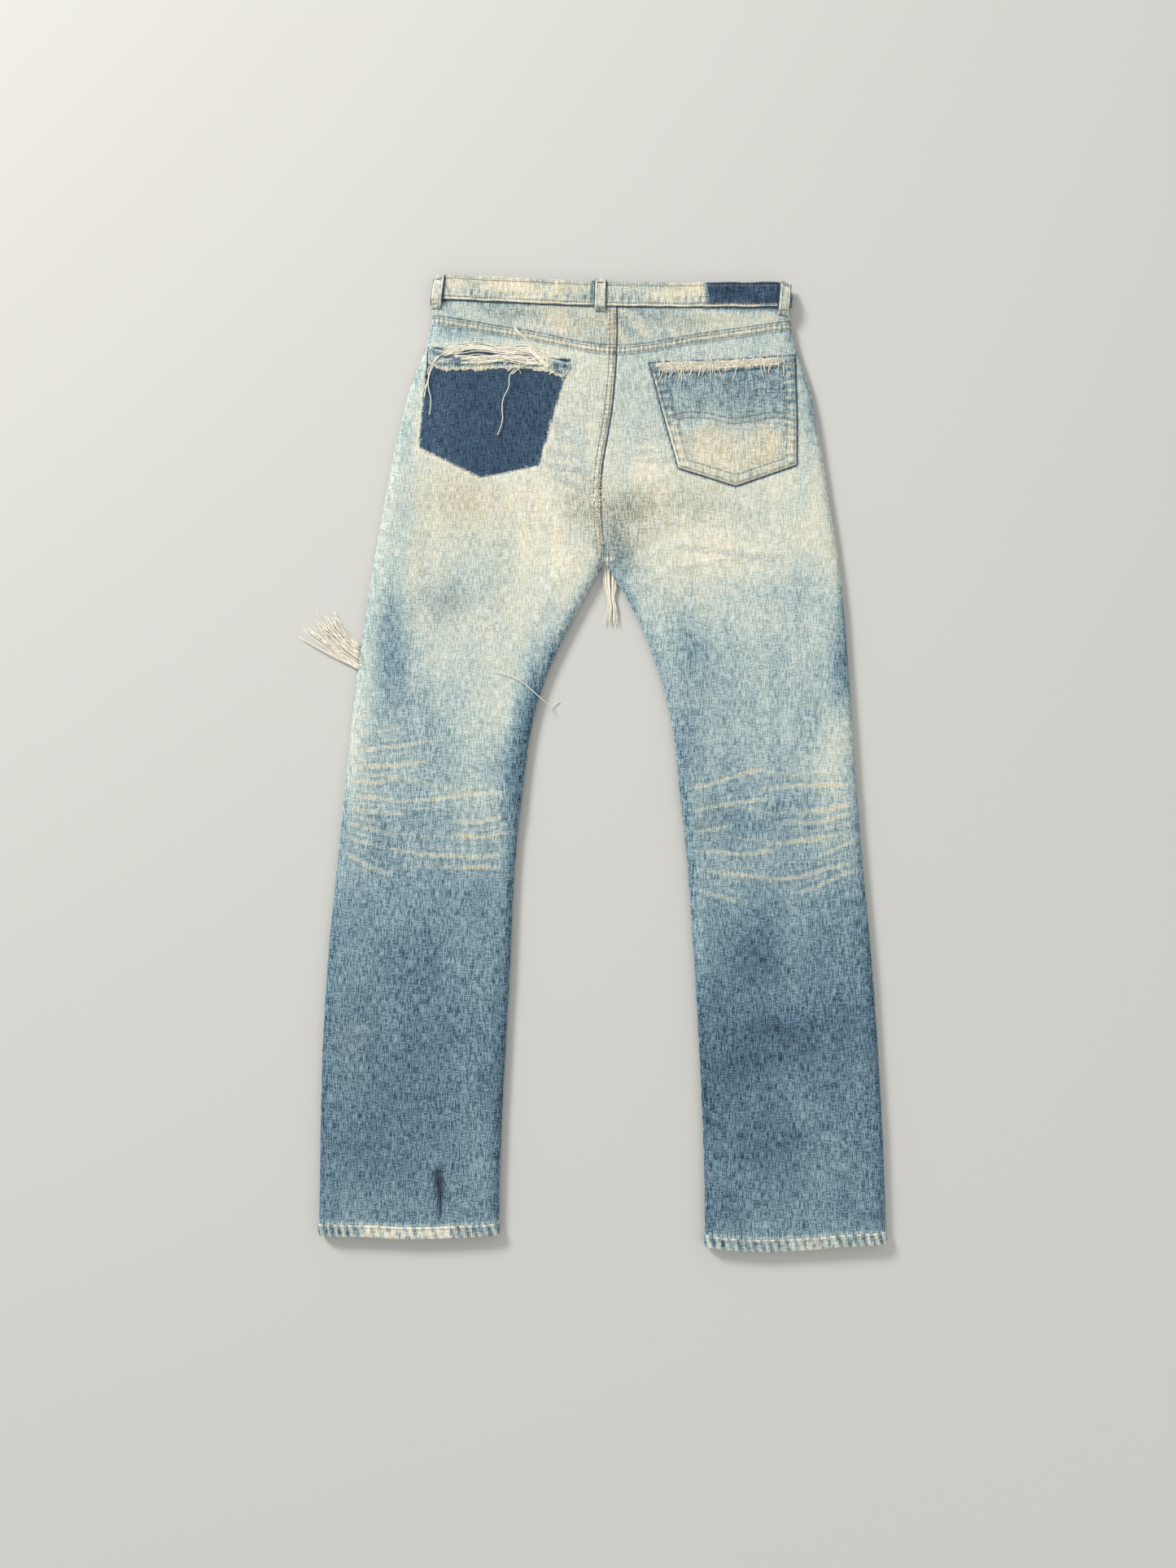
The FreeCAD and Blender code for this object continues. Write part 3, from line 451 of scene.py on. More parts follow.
HONEYCOMBS = knee_creases("left") + knee_creases("right")
FAINT_CREASES = [
    [(-294, -18), (-200, -34), (-118, -50)], [(-295, -78), (-205, -94), (-113, -96)],
    [(-290, 22), (-230, 34)], [(-240, -128), (-160, -130), (-118, -124)],
    [(102, -50), (200, -68), (292, -64)], [(104, -88), (205, -104), (294, -96)],
    [(150, -16), (220, -22), (288, -18)], [(104, -138), (200, -142), (260, -138)],
]
LOST_POCKET = [(-205, 483), (-37, 467), (-74, 340), (-142, 326), (-214, 362)]
SLIT = [(-186, -474), (-183, -526)]


def honeycomb(x, y):
    level = np.zeros(np.shape(x))
    for index, crest in enumerate(FAINT_CREASES):
        gap, where = along_line(x, y + 2.0 * mottle(x, y, 34, 60, 80 + index), crest)
        level += 0.12 * step(-0.05, 0.3, where) * step(1.05, 0.7, where) * ridge(gap, 0, 2.2)
    for index, crest in enumerate(HONEYCOMBS):
        bow = 1.8 * mottle(x, y, 30, 60, 40 + index)
        gap, where = along_line(x, y + bow, crest)
        outer = where if abs(crest[-1][0]) > abs(crest[0][0]) else 1 - where
        fade = step(-0.05, 0.25, where) * step(1.05, 0.75, where) * (0.62 + 0.38 * outer)
        broken = 0.9 + 0.25 * mottle(x, y, 20, 9, 70 + index)
        level += fade * broken * (0.25 * ridge(gap, 0, 2.1) + 0.07 * ridge(gap, 0, 5))
        level += fade * (0.06 * ridge(gap, 8.5, 1.8) - 0.07 * ridge(gap, 4.5, 1.8))
    return level


POCKET_MOUTH = curve([(50, 461), (57, 461.5), (140, 465), (227, 471), (235, 471.5)])
POCKET_SIDES = (
    curve([(300, 99), (337, 90), (400, 73), (462, 57), (480, 52)]),
    curve([(300, 227), (341, 228), (400, 228.5), (471, 227), (480, 227)]),
)


def POCKET_BASE(x):
    return np.interp(x, (70, 90, 157, 228, 245), (343, 337, 316, 341, 347))


def seam_paint(gap, along, seed, pucker_depth=0.21):
    """A felled seam's colours: worn puckers, stitched grooves, and a dark fold that is painted shadow beside
    the seam.
    """
    pucker = np.sin(along * 2 * np.pi / 5.6 + 2.5 * mottle(along, gap * 0, 23, 9, seed))
    flat = step(-0.3, 0.8, gap) * step(10, 8.6, gap)
    rows = ridge(gap, 2.2, 0.8) + ridge(gap, 7.6, 0.8)
    # the fold beside the seam: a painted shadow line
    fold = ridge(gap, -1.0, 1.0)
    level = flat * (0.05 + pucker_depth * pucker) - 0.20 * rows - 0.50 * fold - 0.14 * ridge(gap, 10.5, 1.2)
    return level, 0.22 * rows + 0.15 * fold + 0.10 * flat


def pocket_shade(x, y):
    """Shadow and unworn cloth just outside the right pocket."""
    side = np.minimum(x - POCKET_SIDES[0](y), POCKET_SIDES[1](y) - x)
    inside = np.minimum(np.minimum(side, (y - POCKET_BASE(x)) * 0.94), POCKET_MOUTH(x) - y)
    return 0.55 * ridge(inside, -1.1, 1.4)


def back_level(x, y):
    """Wear of the back, and its stain, at each point, with painted shadow beside the seams, round the right
    pocket and in the slit, and painted light and shade on some folds.
    """
    level = np.where(x < SEAT_SEAM(y), LEG_WEAR["left"](y), LEG_WEAR["right"](y))
    across = step(-14, 14, x - SEAT_SEAM(y))
    blended = LEG_WEAR["left"](y) * (1 - across) + LEG_WEAR["right"](y) * across
    level = np.where(y > CROTCH[1], blended, level)
    for centre, radii, turn, change in WEAR_AND_SHADE_SPOTS:
        level = level + change * blob(x, y, centre, radii, turn)
    stain = np.zeros(np.shape(x))
    for centre, radii, turn, amount in STAINS:
        stain = stain + amount * blob(x, y, centre, radii, turn)
    crease = honeycomb(x, y)
    level, stain = level + crease + yarn_streaks(x, y), stain + 0.9 * np.clip(crease, 0, 0.3)
    # darker towards the side folds and inseams
    level = level - 0.10 * ridge(edge_distance(x, y), 0, 7)
    for index, row in enumerate(DARNED_ROWS):
        gap, where = along_line(x, y + 1.2 * mottle(x, y, 11, 60, 54 + index), row)
        ends = step(-0.02, 0.15, where) * step(1.02, 0.85, where)
        hatch = np.sin((x + 0.4 * y) * 2 * np.pi / 3.6)
        level = level - 0.11 * ends * (1 + 0.6 * hatch) * ridge(gap, 1, 2.4)
        level = level + 0.12 * ends * ridge(gap, 0, 0.9)
    # the seams' colours; the dark line beside each is painted shadow
    seam, thread = seam_paint(SEAT_SEAM(y) - x, y, 11, 0.12)
    here = step(226, 240, y)
    level, stain = level + seam * here, stain + thread * here
    seam, thread = seam_paint(YOKE_SEAM(x) - y, x, 12)
    level, stain = level + seam, stain + thread
    level = level - pocket_shade(x, y)
    # the torn-off pocket left unfaded cloth behind
    ghost = inside_distance(x, y, LOST_POCKET) + 0.5 * mottle(x, y, 5, 5, 50)
    covered = step(-1.0, 1.0, ghost)
    unfaded = -0.05 + 0.22 * yarn_streaks(x, y) + 0.06 * blob(x, y, (-190, 400), (20, 50))
    unfaded = unfaded + 0.10 * ridge(ghost, 4, 1.2) * (0.5 + 0.5 * mottle(x, y, 3, 3, 52))
    level = level * (1 - covered) + unfaded * covered
    level += 0.06 * ridge(ghost, -3, 2.5)
    # painted shadow in the slit above the left hem, where the cloth is torn
    gap, where = along_line(x, y, SLIT)
    level -= 0.50 * ridge(gap, 0, 1.1 + 1.5 * (1 - where))
    # yarns worn pale along the hems' upper edges
    for side in SIDES:
        rise = y - HEM_ROW[side] - hem_dip(side, x)
        here = (x < 0) == (side == "left")
        frayed = 0.5 + 0.5 * np.sin(x * 2 * np.pi / 5.5 + 3 * mottle(x, 0 * x, 13, 9, 53))
        level += here * (0.10 + 0.22 * frayed) * ridge(rise, 1.5, 2.4)
    return level, stain * (1 - covered)


def plain_level(base, seed, spread=1.0):
    """Even wear with only the yarns' own unevenness."""
    def paint(x, y):
        return base + spread * yarn_streaks(x + seed * 37, y - seed * 53), 0.0
    return paint


def front_level(x, y):
    """Wear of the hidden front: faded thighs with whiskers, dark sides and shanks."""
    level = 0.42 + 0.34 * blob(x, y, (-160, 150), (60, 190), -4) + 0.34 * blob(x, y, (160, 150), (60, 190), 4)
    level = level + 0.22 * blob(x, y, (-205, -60), (60, 90)) + 0.22 * blob(x, y, (205, -60), (60, 90))
    for index in range(4):
        for sign in (-1, 1):
            rows = (330 - 26 * index, 318 - 8 * index, 335 + 12 * index)
            crest = [(sign * out, row) for out, row in zip((30, 130, 215), rows)]
            gap, _ = along_line(x, y, crest)
            level = level + 0.14 * ridge(gap, 0, 3)
    return level + yarn_streaks(x + 300, y + 200), 0.0


# ------------------------------------------------------------------ materials

def node(tree, kind, **settings):
    made = tree.nodes.new(kind)
    for name, value in settings.items():
        setattr(made, name, value)
    return made


def noise_node(tree, place, stretch, detail=2.0):
    """Noise in the cloth's own millimetres, with cells of the given size."""
    mapping = node(tree, "ShaderNodeMapping")
    mapping.inputs["Scale"].default_value = [1 / cell for cell in stretch]
    noise = node(tree, "ShaderNodeTexNoise")
    noise.inputs["Scale"].default_value = 1.0
    noise.inputs["Detail"].default_value = detail
    tree.links.new(place, mapping.inputs["Vector"])
    tree.links.new(mapping.outputs["Vector"], noise.inputs["Vector"])
    return noise.outputs["Fac"]


def maths(tree, operation, first, second):
    made = node(tree, "ShaderNodeMath", operation=operation)
    for socket, value in zip(made.inputs, (first, second)):
        if isinstance(value, (int, float)):
            socket.default_value = value
        else:
            tree.links.new(value, socket)
    return made.outputs[0]


DARK_GAMMA, LIGHT_GAMMA = 1.62, 0.67


def new_material(name):
    material = bpy.data.materials.new(name)
    material.use_nodes = True
    tree = material.node_tree
    return material, tree, tree.nodes["Principled BSDF"]


def add_bump(tree, shader, height, strength, distance):
    bump = node(tree, "ShaderNodeBump")
    bump.inputs["Strength"].default_value = strength
    bump.inputs["Distance"].default_value = distance
    tree.links.new(height, bump.inputs["Height"])
    tree.links.new(bump.outputs["Normal"], shader.inputs["Normal"])


def cloth_material(name, contrast=1.0, twill=True, pitch=0.85, relief=0.5):
    """Woven cloth: its own colours, broken up by twill, slubs and pale weft."""
    material, tree, shader = new_material(name)
    place = node(tree, "ShaderNodeAttribute", attribute_name="rest").outputs["Vector"]
    colour = node(tree, "ShaderNodeAttribute", attribute_name="dye").outputs["Color"]
    warp = noise_node(tree, place, (0.95, 11, 4))
    weft = noise_node(tree, place, (9, 0.95, 4))
    grain = noise_node(tree, place, (1.15, 1.15, 4))
    weave = node(tree, "ShaderNodeTexWave", wave_type="BANDS", bands_direction="DIAGONAL")
    mapping = node(tree, "ShaderNodeMapping")
    mapping.inputs["Rotation"].default_value = (0, 0, math.radians(18 if twill else 45))
    mapping.inputs["Scale"].default_value = (1, 1, 0)
    tree.links.new(place, mapping.inputs["Vector"])
    tree.links.new(mapping.outputs["Vector"], weave.inputs["Vector"])
    weave.inputs["Scale"].default_value = 0.314 / pitch
    weave.inputs["Distortion"].default_value = 0.6
    mixed = maths(tree, "MULTIPLY", warp, 1.5)
    for layer, share in ((weft, 0.9), (grain, 1.3), (weave.outputs["Fac"], 0.18)):
        mixed = maths(tree, "ADD", mixed, maths(tree, "MULTIPLY", layer, share))
    centred = maths(tree, "SUBTRACT", mixed, 1.94)
    grey = node(tree, "ShaderNodeRGBToBW")
    tree.links.new(colour, grey.inputs["Color"])
    depth = maths(tree, "ADD", maths(tree, "MULTIPLY", grey.outputs["Val"], 4.5), 0.1)
    depth = maths(tree, "MULTIPLY", maths(tree, "MINIMUM", depth, 1.0), 4.8 * contrast)
    strength = maths(tree, "MULTIPLY", centred, depth)
    factor = maths(tree, "ADD", strength, 0.5)
    final = node(tree, "ShaderNodeMix", data_type="RGBA", blend_type="MIX")
    tree.links.new(factor, final.inputs["Factor"])
    for gamma, socket in ((DARK_GAMMA, "A"), (LIGHT_GAMMA, "B")):
        tone = node(tree, "ShaderNodeGamma")
        tone.inputs["Gamma"].default_value = gamma
        tree.links.new(colour, tone.inputs["Color"])
        tree.links.new(tone.outputs["Color"], final.inputs[socket])
    tree.links.new(final.outputs["Result"], shader.inputs["Base Color"])
    add_bump(tree, shader, mixed, relief, 0.0004)
    shader.inputs["Roughness"].default_value = 0.92
    shader.inputs["Sheen Weight"].default_value = 0.04
    shader.inputs["Specular IOR Level"].default_value = 0.2
    return material


def speckled(name, scale, detail, ends, first, second):
    """A material whose colour wanders between two tones; also its tree, shader and noise."""
    material, tree, shader = new_material(name)
    noise = node(tree, "ShaderNodeTexNoise")
    noise.inputs["Scale"].default_value = scale
    noise.inputs["Detail"].default_value = detail
    tree.links.new(node(tree, "ShaderNodeTexCoord").outputs["Object"], noise.inputs["Vector"])
    ramp = node(tree, "ShaderNodeValToRGB")
    for element, position, colour in zip(ramp.color_ramp.elements, ends, (first, second)):
        element.position = position
        element.color = (*colour, 1)
    tree.links.new(noise.outputs["Fac"], ramp.inputs["Fac"])
    tree.links.new(ramp.outputs["Color"], shader.inputs["Base Color"])
    return material, tree, shader, noise.outputs["Fac"]


def thread_material(name, colour, other, cell=2.0):
    """Spun thread: two tones, fine fuzz and a matt surface."""
    material, tree, shader, noise = speckled(name, 1000 / cell, 3, (0.35, 0.65), colour, other)
    add_bump(tree, shader, noise, 0.4, 0.0002)
    shader.inputs["Roughness"].default_value = 0.95
    shader.inputs["Sheen Weight"].default_value = 0.2
    return material


def metal_material(name, bright, dull):
    """Plated metal rubbed bright on its high places and dull in between."""
    material, tree, shader, noise = speckled(name, 420, 5, (0.38, 0.62), dull, bright)
    rough = maths(tree, "ADD", maths(tree, "MULTIPLY", noise, 0.35), 0.25)
    tree.links.new(rough, shader.inputs["Roughness"])
    shader.inputs["Metallic"].default_value = 1.0
    return material


# ------------------------------------------------------------------ mesh making

def mesh_object(name, points, faces, material, colours=None):
    """A mesh from points in millimetres, which also keep their rest places."""
    mesh = bpy.data.meshes.new(name)
    points = np.asarray(points, float)
    mesh.from_pydata((points * MM).tolist(), [], faces)
    rest = mesh.attributes.new("rest", "FLOAT_VECTOR", "POINT")
    rest.data.foreach_set("vector", points.astype(np.float32).ravel())
    if colours is not None:
        linear = np.where(colours <= 0.04045, colours / 12.92, ((colours + 0.055) / 1.055) ** 2.4)
        full = np.concatenate([linear, np.ones((len(linear), 1))], axis=1)
        paint = mesh.attributes.new("dye", "FLOAT_COLOR", "POINT")
        paint.data.foreach_set("color", full.astype(np.float32).ravel())
    mesh.materials.append(material)
    mesh.polygons.foreach_set("use_smooth", [True] * len(mesh.polygons))
    made = bpy.data.objects.new(name, mesh)
    bpy.context.collection.objects.link(made)
    return made


def cloth(name, grid, thickness, paint, material, inside=0.62, closed=False):
    """A closed skin of cloth from a grid of its outer surface.

    Rows and columns of the grid must run so that their cross product points out.
    A closed grid joins its last row to its first.
    """
    rows, columns = grid.shape[:2]
    if closed:
        padded = np.concatenate([grid[-1:], grid, grid[:1]])
        along = (padded[2:] - padded[:-2]) / 2
    else:
        along = np.gradient(grid, axis=0)
    across = np.gradient(grid, axis=1)
    normal = np.cross(along, across)
    normal /= np.maximum(np.linalg.norm(normal, axis=-1, keepdims=True), 1e-9)
    under = grid - normal * thickness
    count = rows * columns
    index = np.arange(count).reshape(rows, columns)
    last = rows if closed else rows - 1
    following = np.roll(index, -1, axis=0)
    a = index[:last, :-1].ravel()
    b = following[:last, :-1].ravel()
    c = following[:last, 1:].ravel()
    d = index[:last, 1:].ravel()
    top = np.stack([a, b, c, d], axis=1)
    bottom = np.stack([d, c, b, a], axis=1) + count
    rims = []
    edges = [(index[:last, 0], following[:last, 0]), (following[:last, -1], index[:last, -1])]
    if not closed:
        edges += [(index[0, 1:], index[0, :-1]), (index[-1, :-1], index[-1, 1:])]
    for start, end in edges:
        rims.append(np.stack([end, start, start + count, end + count], axis=1))
    faces = np.concatenate([top, bottom] + rims)
    level, stain = paint(grid[..., 0], grid[..., 1])
    outer = dye(level, stain).reshape(-1, 3)
    x, y = under[..., 0].ravel(), under[..., 1].ravel()
    inner = dye(inside + 0.7 * yarn_streaks(x + 77, y + 91))
    points = np.concatenate([grid.reshape(-1, 3), under.reshape(-1, 3)])
    name = name if "cloth" in name else f"{name}_cloth"
    return mesh_object(name, points, faces.tolist(), material, np.concatenate([outer, inner]))


def declare(grid, closed=False):
    """Adds a closed grid's first row to its end, and keeps nothing."""
    if closed:
        grid = np.concatenate([grid, grid[:1]])


def eased(count, ends=0.72):
    """Steps from 0 to 1 that crowd towards both ends."""
    t = np.linspace(0, 1, count)
    return t - ends * np.sin(2 * np.pi * t) / (2 * np.pi)


def tubes(name, paths, radius, material, sides=6):
    """Round yarns along chains of points, all in one mesh; radius may be per path."""
    points, faces, base = [], [], 0
    for number, path in enumerate(paths):
        path = np.asarray(path, float)
        size = radius[number] if hasattr(radius, "__len__") else radius
        along = np.gradient(path, axis=0)
        along /= np.maximum(np.linalg.norm(along, axis=1, keepdims=True), 1e-9)
        side = np.cross(along, (0.13, 0.21, 0.97))
        side /= np.maximum(np.linalg.norm(side, axis=1, keepdims=True), 1e-9)
        up = np.cross(side, along)
        angles = np.linspace(0, 2 * np.pi, sides, endpoint=False)
        taper = np.ones(len(path))
        taper[0] = taper[-1] = 0.35
        ring = (np.cos(angles)[None, :, None] * side[:, None] + np.sin(angles)[None, :, None] * up[:, None])
        points.append((path[:, None] + ring * size * taper[:, None, None]).reshape(-1, 3))
        count = len(path)
        index = base + np.arange(count * sides).reshape(count, sides)
        after = np.roll(index, -1, axis=1)
        quads = np.stack([index[:-1], after[:-1], after[1:], index[1:]], axis=-1).reshape(-1, 4)
        faces += quads.tolist()
        faces += [index[0, ::-1].tolist(), index[-1].tolist()]
        base += count * sides
    return mesh_object(name, np.concatenate(points), faces, material)


def chain_ends(points):
    """How far along a chain of straight runs each of its points is."""
    return np.concatenate([[0], np.cumsum(np.hypot(*np.diff(points, axis=0).T))])


def walk(points, spacing):
    """Points every so far along a chain of straight runs, and their directions."""
    points = np.array(points, float)
    runs = np.hypot(*np.diff(points, axis=0).T)
    reached = chain_ends(points)
    places = np.arange(spacing / 2, reached[-1], spacing)
    x = np.interp(places, reached, points[:, 0])
    y = np.interp(places, reached, points[:, 1])
    i = np.clip(np.searchsorted(reached, places) - 1, 0, len(runs) - 1)
    way = (points[i + 1] - points[i]) / runs[i][:, None]
    return np.stack([x, y], axis=1), way


def stitches(name, rows, surface, material, body, slot, pitch=3.4, width=0.85, missing=0.03, lift=0.1):
    """Lockstitches along rows of points, each a short thread dipping into the cloth."""
    paths = []
    for row in rows:
        middles, ways = walk(row, pitch)
        for middle, way in zip(middles, ways):
            if RNG.random() < missing:
                continue
            half = pitch * (0.40 + 0.05 * RNG.random())
            skew = RNG.normal(0, 0.05)
            way = np.array((way[0] - skew * way[1], way[1] + skew * way[0]))
            places = middle + np.outer((-1, -0.6, 0, 0.6, 1), way) * half
            height = surface(places[:, 0], places[:, 1]) + lift
            height = height + np.array((-0.55, 0.05, 0.16, 0.05, -0.55)) * width
            paths.append(np.column_stack([places, height]))
    piece = tubes(name, paths, width / 2, material)
    settle(piece, body, slot)


# ------------------------------------------------------------------ attaching


def bend_at_knee(piece, side, kind):
    """The piece stands for both halves of a CAD part."""
    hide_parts(f"{kind}_{side}_upper", f"{kind}_{side}_lower")
    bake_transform(piece)


def settle(piece, body, slot, *nodes):
    """Rides a body and stands for CAD nodes; its slot is not used."""
    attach(piece, body)
    if nodes:
        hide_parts(*nodes)


# ------------------------------------------------------------------ legs and seat

def tight_rows(rows, tight):
    """Shares of the height, with the last few rows closer together."""
    wide = np.linspace(0, 0.965, rows - tight)
    return np.concatenate([wide, np.linspace(0.965, 1, tight + 1)[1:]])[None, :]


def leg_grid(side, low, high, rows, columns, tight=0):
    """Points across one leg between two edges given as curves of x."""
    steps = eased(columns)[:, None]
    shares = np.linspace(0, 1, rows)[None, :] if tight == 0 else tight_rows(rows, tight)
    y = low(0) + (high(0) - low(0)) * shares + 0 * steps
    for _ in range(4):
        outer = OUTER[side](y)
        x = outer + (inner_edge(side, y) - outer) * steps
        lowest, highest = low(x), high(x)
        near_top = np.clip((shares - 0.8) / 0.2, 0, 1)
        near_low = np.clip((0.2 - shares) / 0.2, 0, 1)
        plain = low(0) + (high(0) - low(0)) * shares
        y = plain + (highest - high(0)) * near_top + (lowest - low(0)) * near_low
    return x, y


def turned(grid, side, outward_up=True):
    """Puts a leg's grid the way round that makes its skin face outwards."""
    flip = (side == "right") == outward_up
    return grid[::-1] if flip else grid


def held_at(value):
    """A curve that keeps one value."""
    return lambda x: value + 0 * np.asarray(x, float)


def leg_end(side):
    """The leg's cloth ends inside its hem."""
    return lambda x: HEM_ROW[side] - 11.5 + hem_dip(side, x)


def slit_notch(x, y):
    """Lets the cloth part along the slit above the left hem."""
    gap, where = along_line(x, y, SLIT)
    return -1.6 * ridge(gap, 0, 1.5) * step(0.02, 0.2, where)


def back_surface(x, y):
    return back_z(x, y) + slit_notch(x, y)


def make_back_cloth(side, denim):
    x, y = leg_grid(side, leg_end(side), YOKE_SEAM, 640, 136, tight=44)
    grid = np.stack([x, y, back_surface(x, y)], axis=-1)
    piece = cloth(f"back_cloth_{side}", turned(grid, side), 0.85, back_level, denim)
    bend_at_knee(piece, side, "back_panel")
    declare(grid)


FRONT_TOP = curve([(-200, 541), (-150, 527), (-90, 520), (0, 519), (100, 520), (160, 524), (225, 531)])
SCOOP = {"left": (-207.0, 521.0), "right": (223.0, 521.0)}
SCOOP_RADIUS = 95.0


def front_outline(side):
    """Top edge of a front panel: the waist, then the scoop of the pocket mouth."""
    middle, height = SCOOP[side]
    outward = -1 if side == "left" else 1

    def top(x):
        across = np.clip(np.asarray(x, float) - middle, -SCOOP_RADIUS, SCOOP_RADIUS)
        scoop = height - np.sqrt(SCOOP_RADIUS ** 2 - across ** 2)
        inward = (np.asarray(x, float) - middle) * outward < -SCOOP_RADIUS + 1.0
        return np.where(inward, FRONT_TOP(x) + 2, scoop)
    return top


def front_surface(x, y):
    return front_z(x, y) + 2.3 * step(506, 522, y - FRONT_TOP(x) + 521)


def make_front_cloth(side, denim):
    x, y = leg_grid(side, leg_end(side), front_outline(side), 230, 70)
    grid = np.stack([x, y, front_surface(x, y)], axis=-1)
    piece = cloth(f"front_cloth_{side}", turned(grid, side, False), 0.85, front_level, denim)
    bend_at_knee(piece, side, "front_panel")
    declare(grid)


def edge_roll(edge, sign, rows, out):
    """A seam standing along a side fold, with its puckers; sign is the way out."""
    y = np.linspace(rows[0], rows[1], int((rows[1] - rows[0]) / 2.6))[:, None]
    angles = np.linspace(-80, 80, 9)[None, :]
    wave = np.sin(y * 2 * np.pi / 11 + 3 * mottle(0 * y, y, 9, 31, 61)) + mottle(0 * y, y, 9, 14, 62)
    reach = out + 0.28 * wave
    x = edge(y) + sign * (reach * np.cos(np.radians(angles)) - 1.0)
    z = EDGE_HEIGHT + 2.6 * np.sin(np.radians(angles)) + 0 * y
    grid = np.stack([x, y + 0 * angles, z], axis=-1)
    return grid if sign > 0 else grid[::-1]


ROLL_REACH = 1.7


def make_side_seams(side, slots):
    """Outseams and inseams as puckered rolls of the allowance inside the folds."""
    out = -1 if side == "left" else 1
    low = HEM_ROW[side] + 1

    def paint(x, y):
        rope = np.sin(y * 2 * np.pi / 11 + 3 * mottle(0 * y, y, 9, 31, 61))
        level, stain = back_level(x - 4 * out, y)
        return level + 0.12 * rope + 0.02, stain

    spans = (("outseam", OUTER[side], out, (low, 536.0)), ("inseam", INNER[side], -out, (low, 226.0)))
    for kind, edge, sign, rows in spans:
        grid = edge_roll(edge, sign, rows, ROLL_REACH)
        facing = np.cross(grid[1, 4] - grid[0, 4], grid[0, 5] - grid[0, 4])[0]
        grid = grid if facing * sign > 0 else grid[::-1]
        piece = cloth(f"{kind}_{side}", grid, 0.9, paint, slots["seam_allowance"])
        bend_at_knee(piece, side, kind)
        declare(grid)


def leg_ring(side, y, count):
    """Points round a leg at given heights, going over the back and home under the front."""
    share = eased(count)
    left_edge, right_edge = OUTER[side], INNER[side]
    if side == "right":
        left_edge, right_edge = right_edge, left_edge
    over = left_edge(y) + (right_edge(y) - left_edge(y)) * share[:, None]
    under = over[::-1][1:-1]
    x = np.concatenate([over, under])
    y = np.broadcast_to(y, x.shape)
    z = np.concatenate([back_z(over, y[:count]), front_z(under, y[count:])])
    return np.stack([x, y, z], axis=-1)


# The hem's section: rise from the hem row, and how far it stands out from the leg.
HEM_PROFILE = [
    (-13.2, -0.8), (-13.6, 0.1), (-13.2, 1.0), (-11.5, 1.7), (-8, 1.9),
    (-4, 1.75), (-1.2, 1.7), (-0.2, 1.3), (0.1, 0.3),
]
HEM_LINES = {
    "left": curve([(-330, 1.8), (-270, 1.0), (-215, -1.0), (-165, 0.2), (-112, 2.8)]),
    "right": curve([(110, 1.8), (168, -3.2), (220, -2.2), (270, 2.0), (330, 5.2)]),
}


def hem_dip(side, x):
    """The hem's lower line isn't straight."""
    return HEM_LINES[side](x)


def hem_rope(x, y):
    """The roping of a hem that shrank against its stitching."""
    return np.tanh(2.2 * np.sin((x + 0.3 * y) * 2 * np.pi / 9.5 + 2.6 * mottle(x, 0 * y, 27, 60, 71)))


def make_hem(side, slots):
    heights = np.array([HEM_ROW[side] + rise for rise, _ in HEM_PROFILE])
    offsets = np.array([offset for _, offset in HEM_PROFILE])
    ring = leg_ring(side, heights, 128)
    around = np.roll(ring, -1, axis=0) - np.roll(ring, 1, axis=0)
    normal = np.stack([-around[..., 2], 0 * around[..., 0], around[..., 0]], axis=-1)
    normal /= np.linalg.norm(normal, axis=-1, keepdims=True)
    x, y = ring[..., 0], ring[..., 1]
    rope = hem_rope(x, y)
    outward = offsets + 0.3 * rope * (offsets > 1.2) + 0.3 * mottle(x, y, 12, 12, 72) * (offsets > 1.2)
    grid = ring + normal * outward[..., None]
    grid[..., 1] += hem_dip(side, x)
    grid[..., 2] = np.clip(grid[..., 2], 0.15, None)

    def paint(x, y):
        y = y - hem_dip(side, x)
        rise = y - HEM_ROW[side]
        level = 0.50 + 0.24 * hem_rope(x, y) + 0.12 * mottle(x, y, 5, 5, 73) + yarn_streaks(x, y)
        level = level + 0.34 * ridge(rise, -13.2, 2.0) - 0.50 * ridge(rise, -2.5, 0.9)
        level = level + 0.22 * ridge(rise, -0.2, 1.1)
        if side == "left":
            bare = (0.34 + 0.3 * mottle(x, y, 3.5, 3.5, 74)) * step(-276, -266, x)
            level = level + bare * step(-168, -178, x) * step(-14, -9, rise + 1)
        else:
            level = level + 0.2 * blob(x, y, (240, -554), (34, 9)) + 0.16 * blob(x, y, (310, -550), (14, 9))
        return level, 0.08

    piece = cloth(f"hem_{side}", grid, 0.55, paint, slots["hem_denim"], closed=True)
    settle(piece, f"shank_{side}", "hem_denim", f"hem_{side}")
    declare(grid, closed=True)


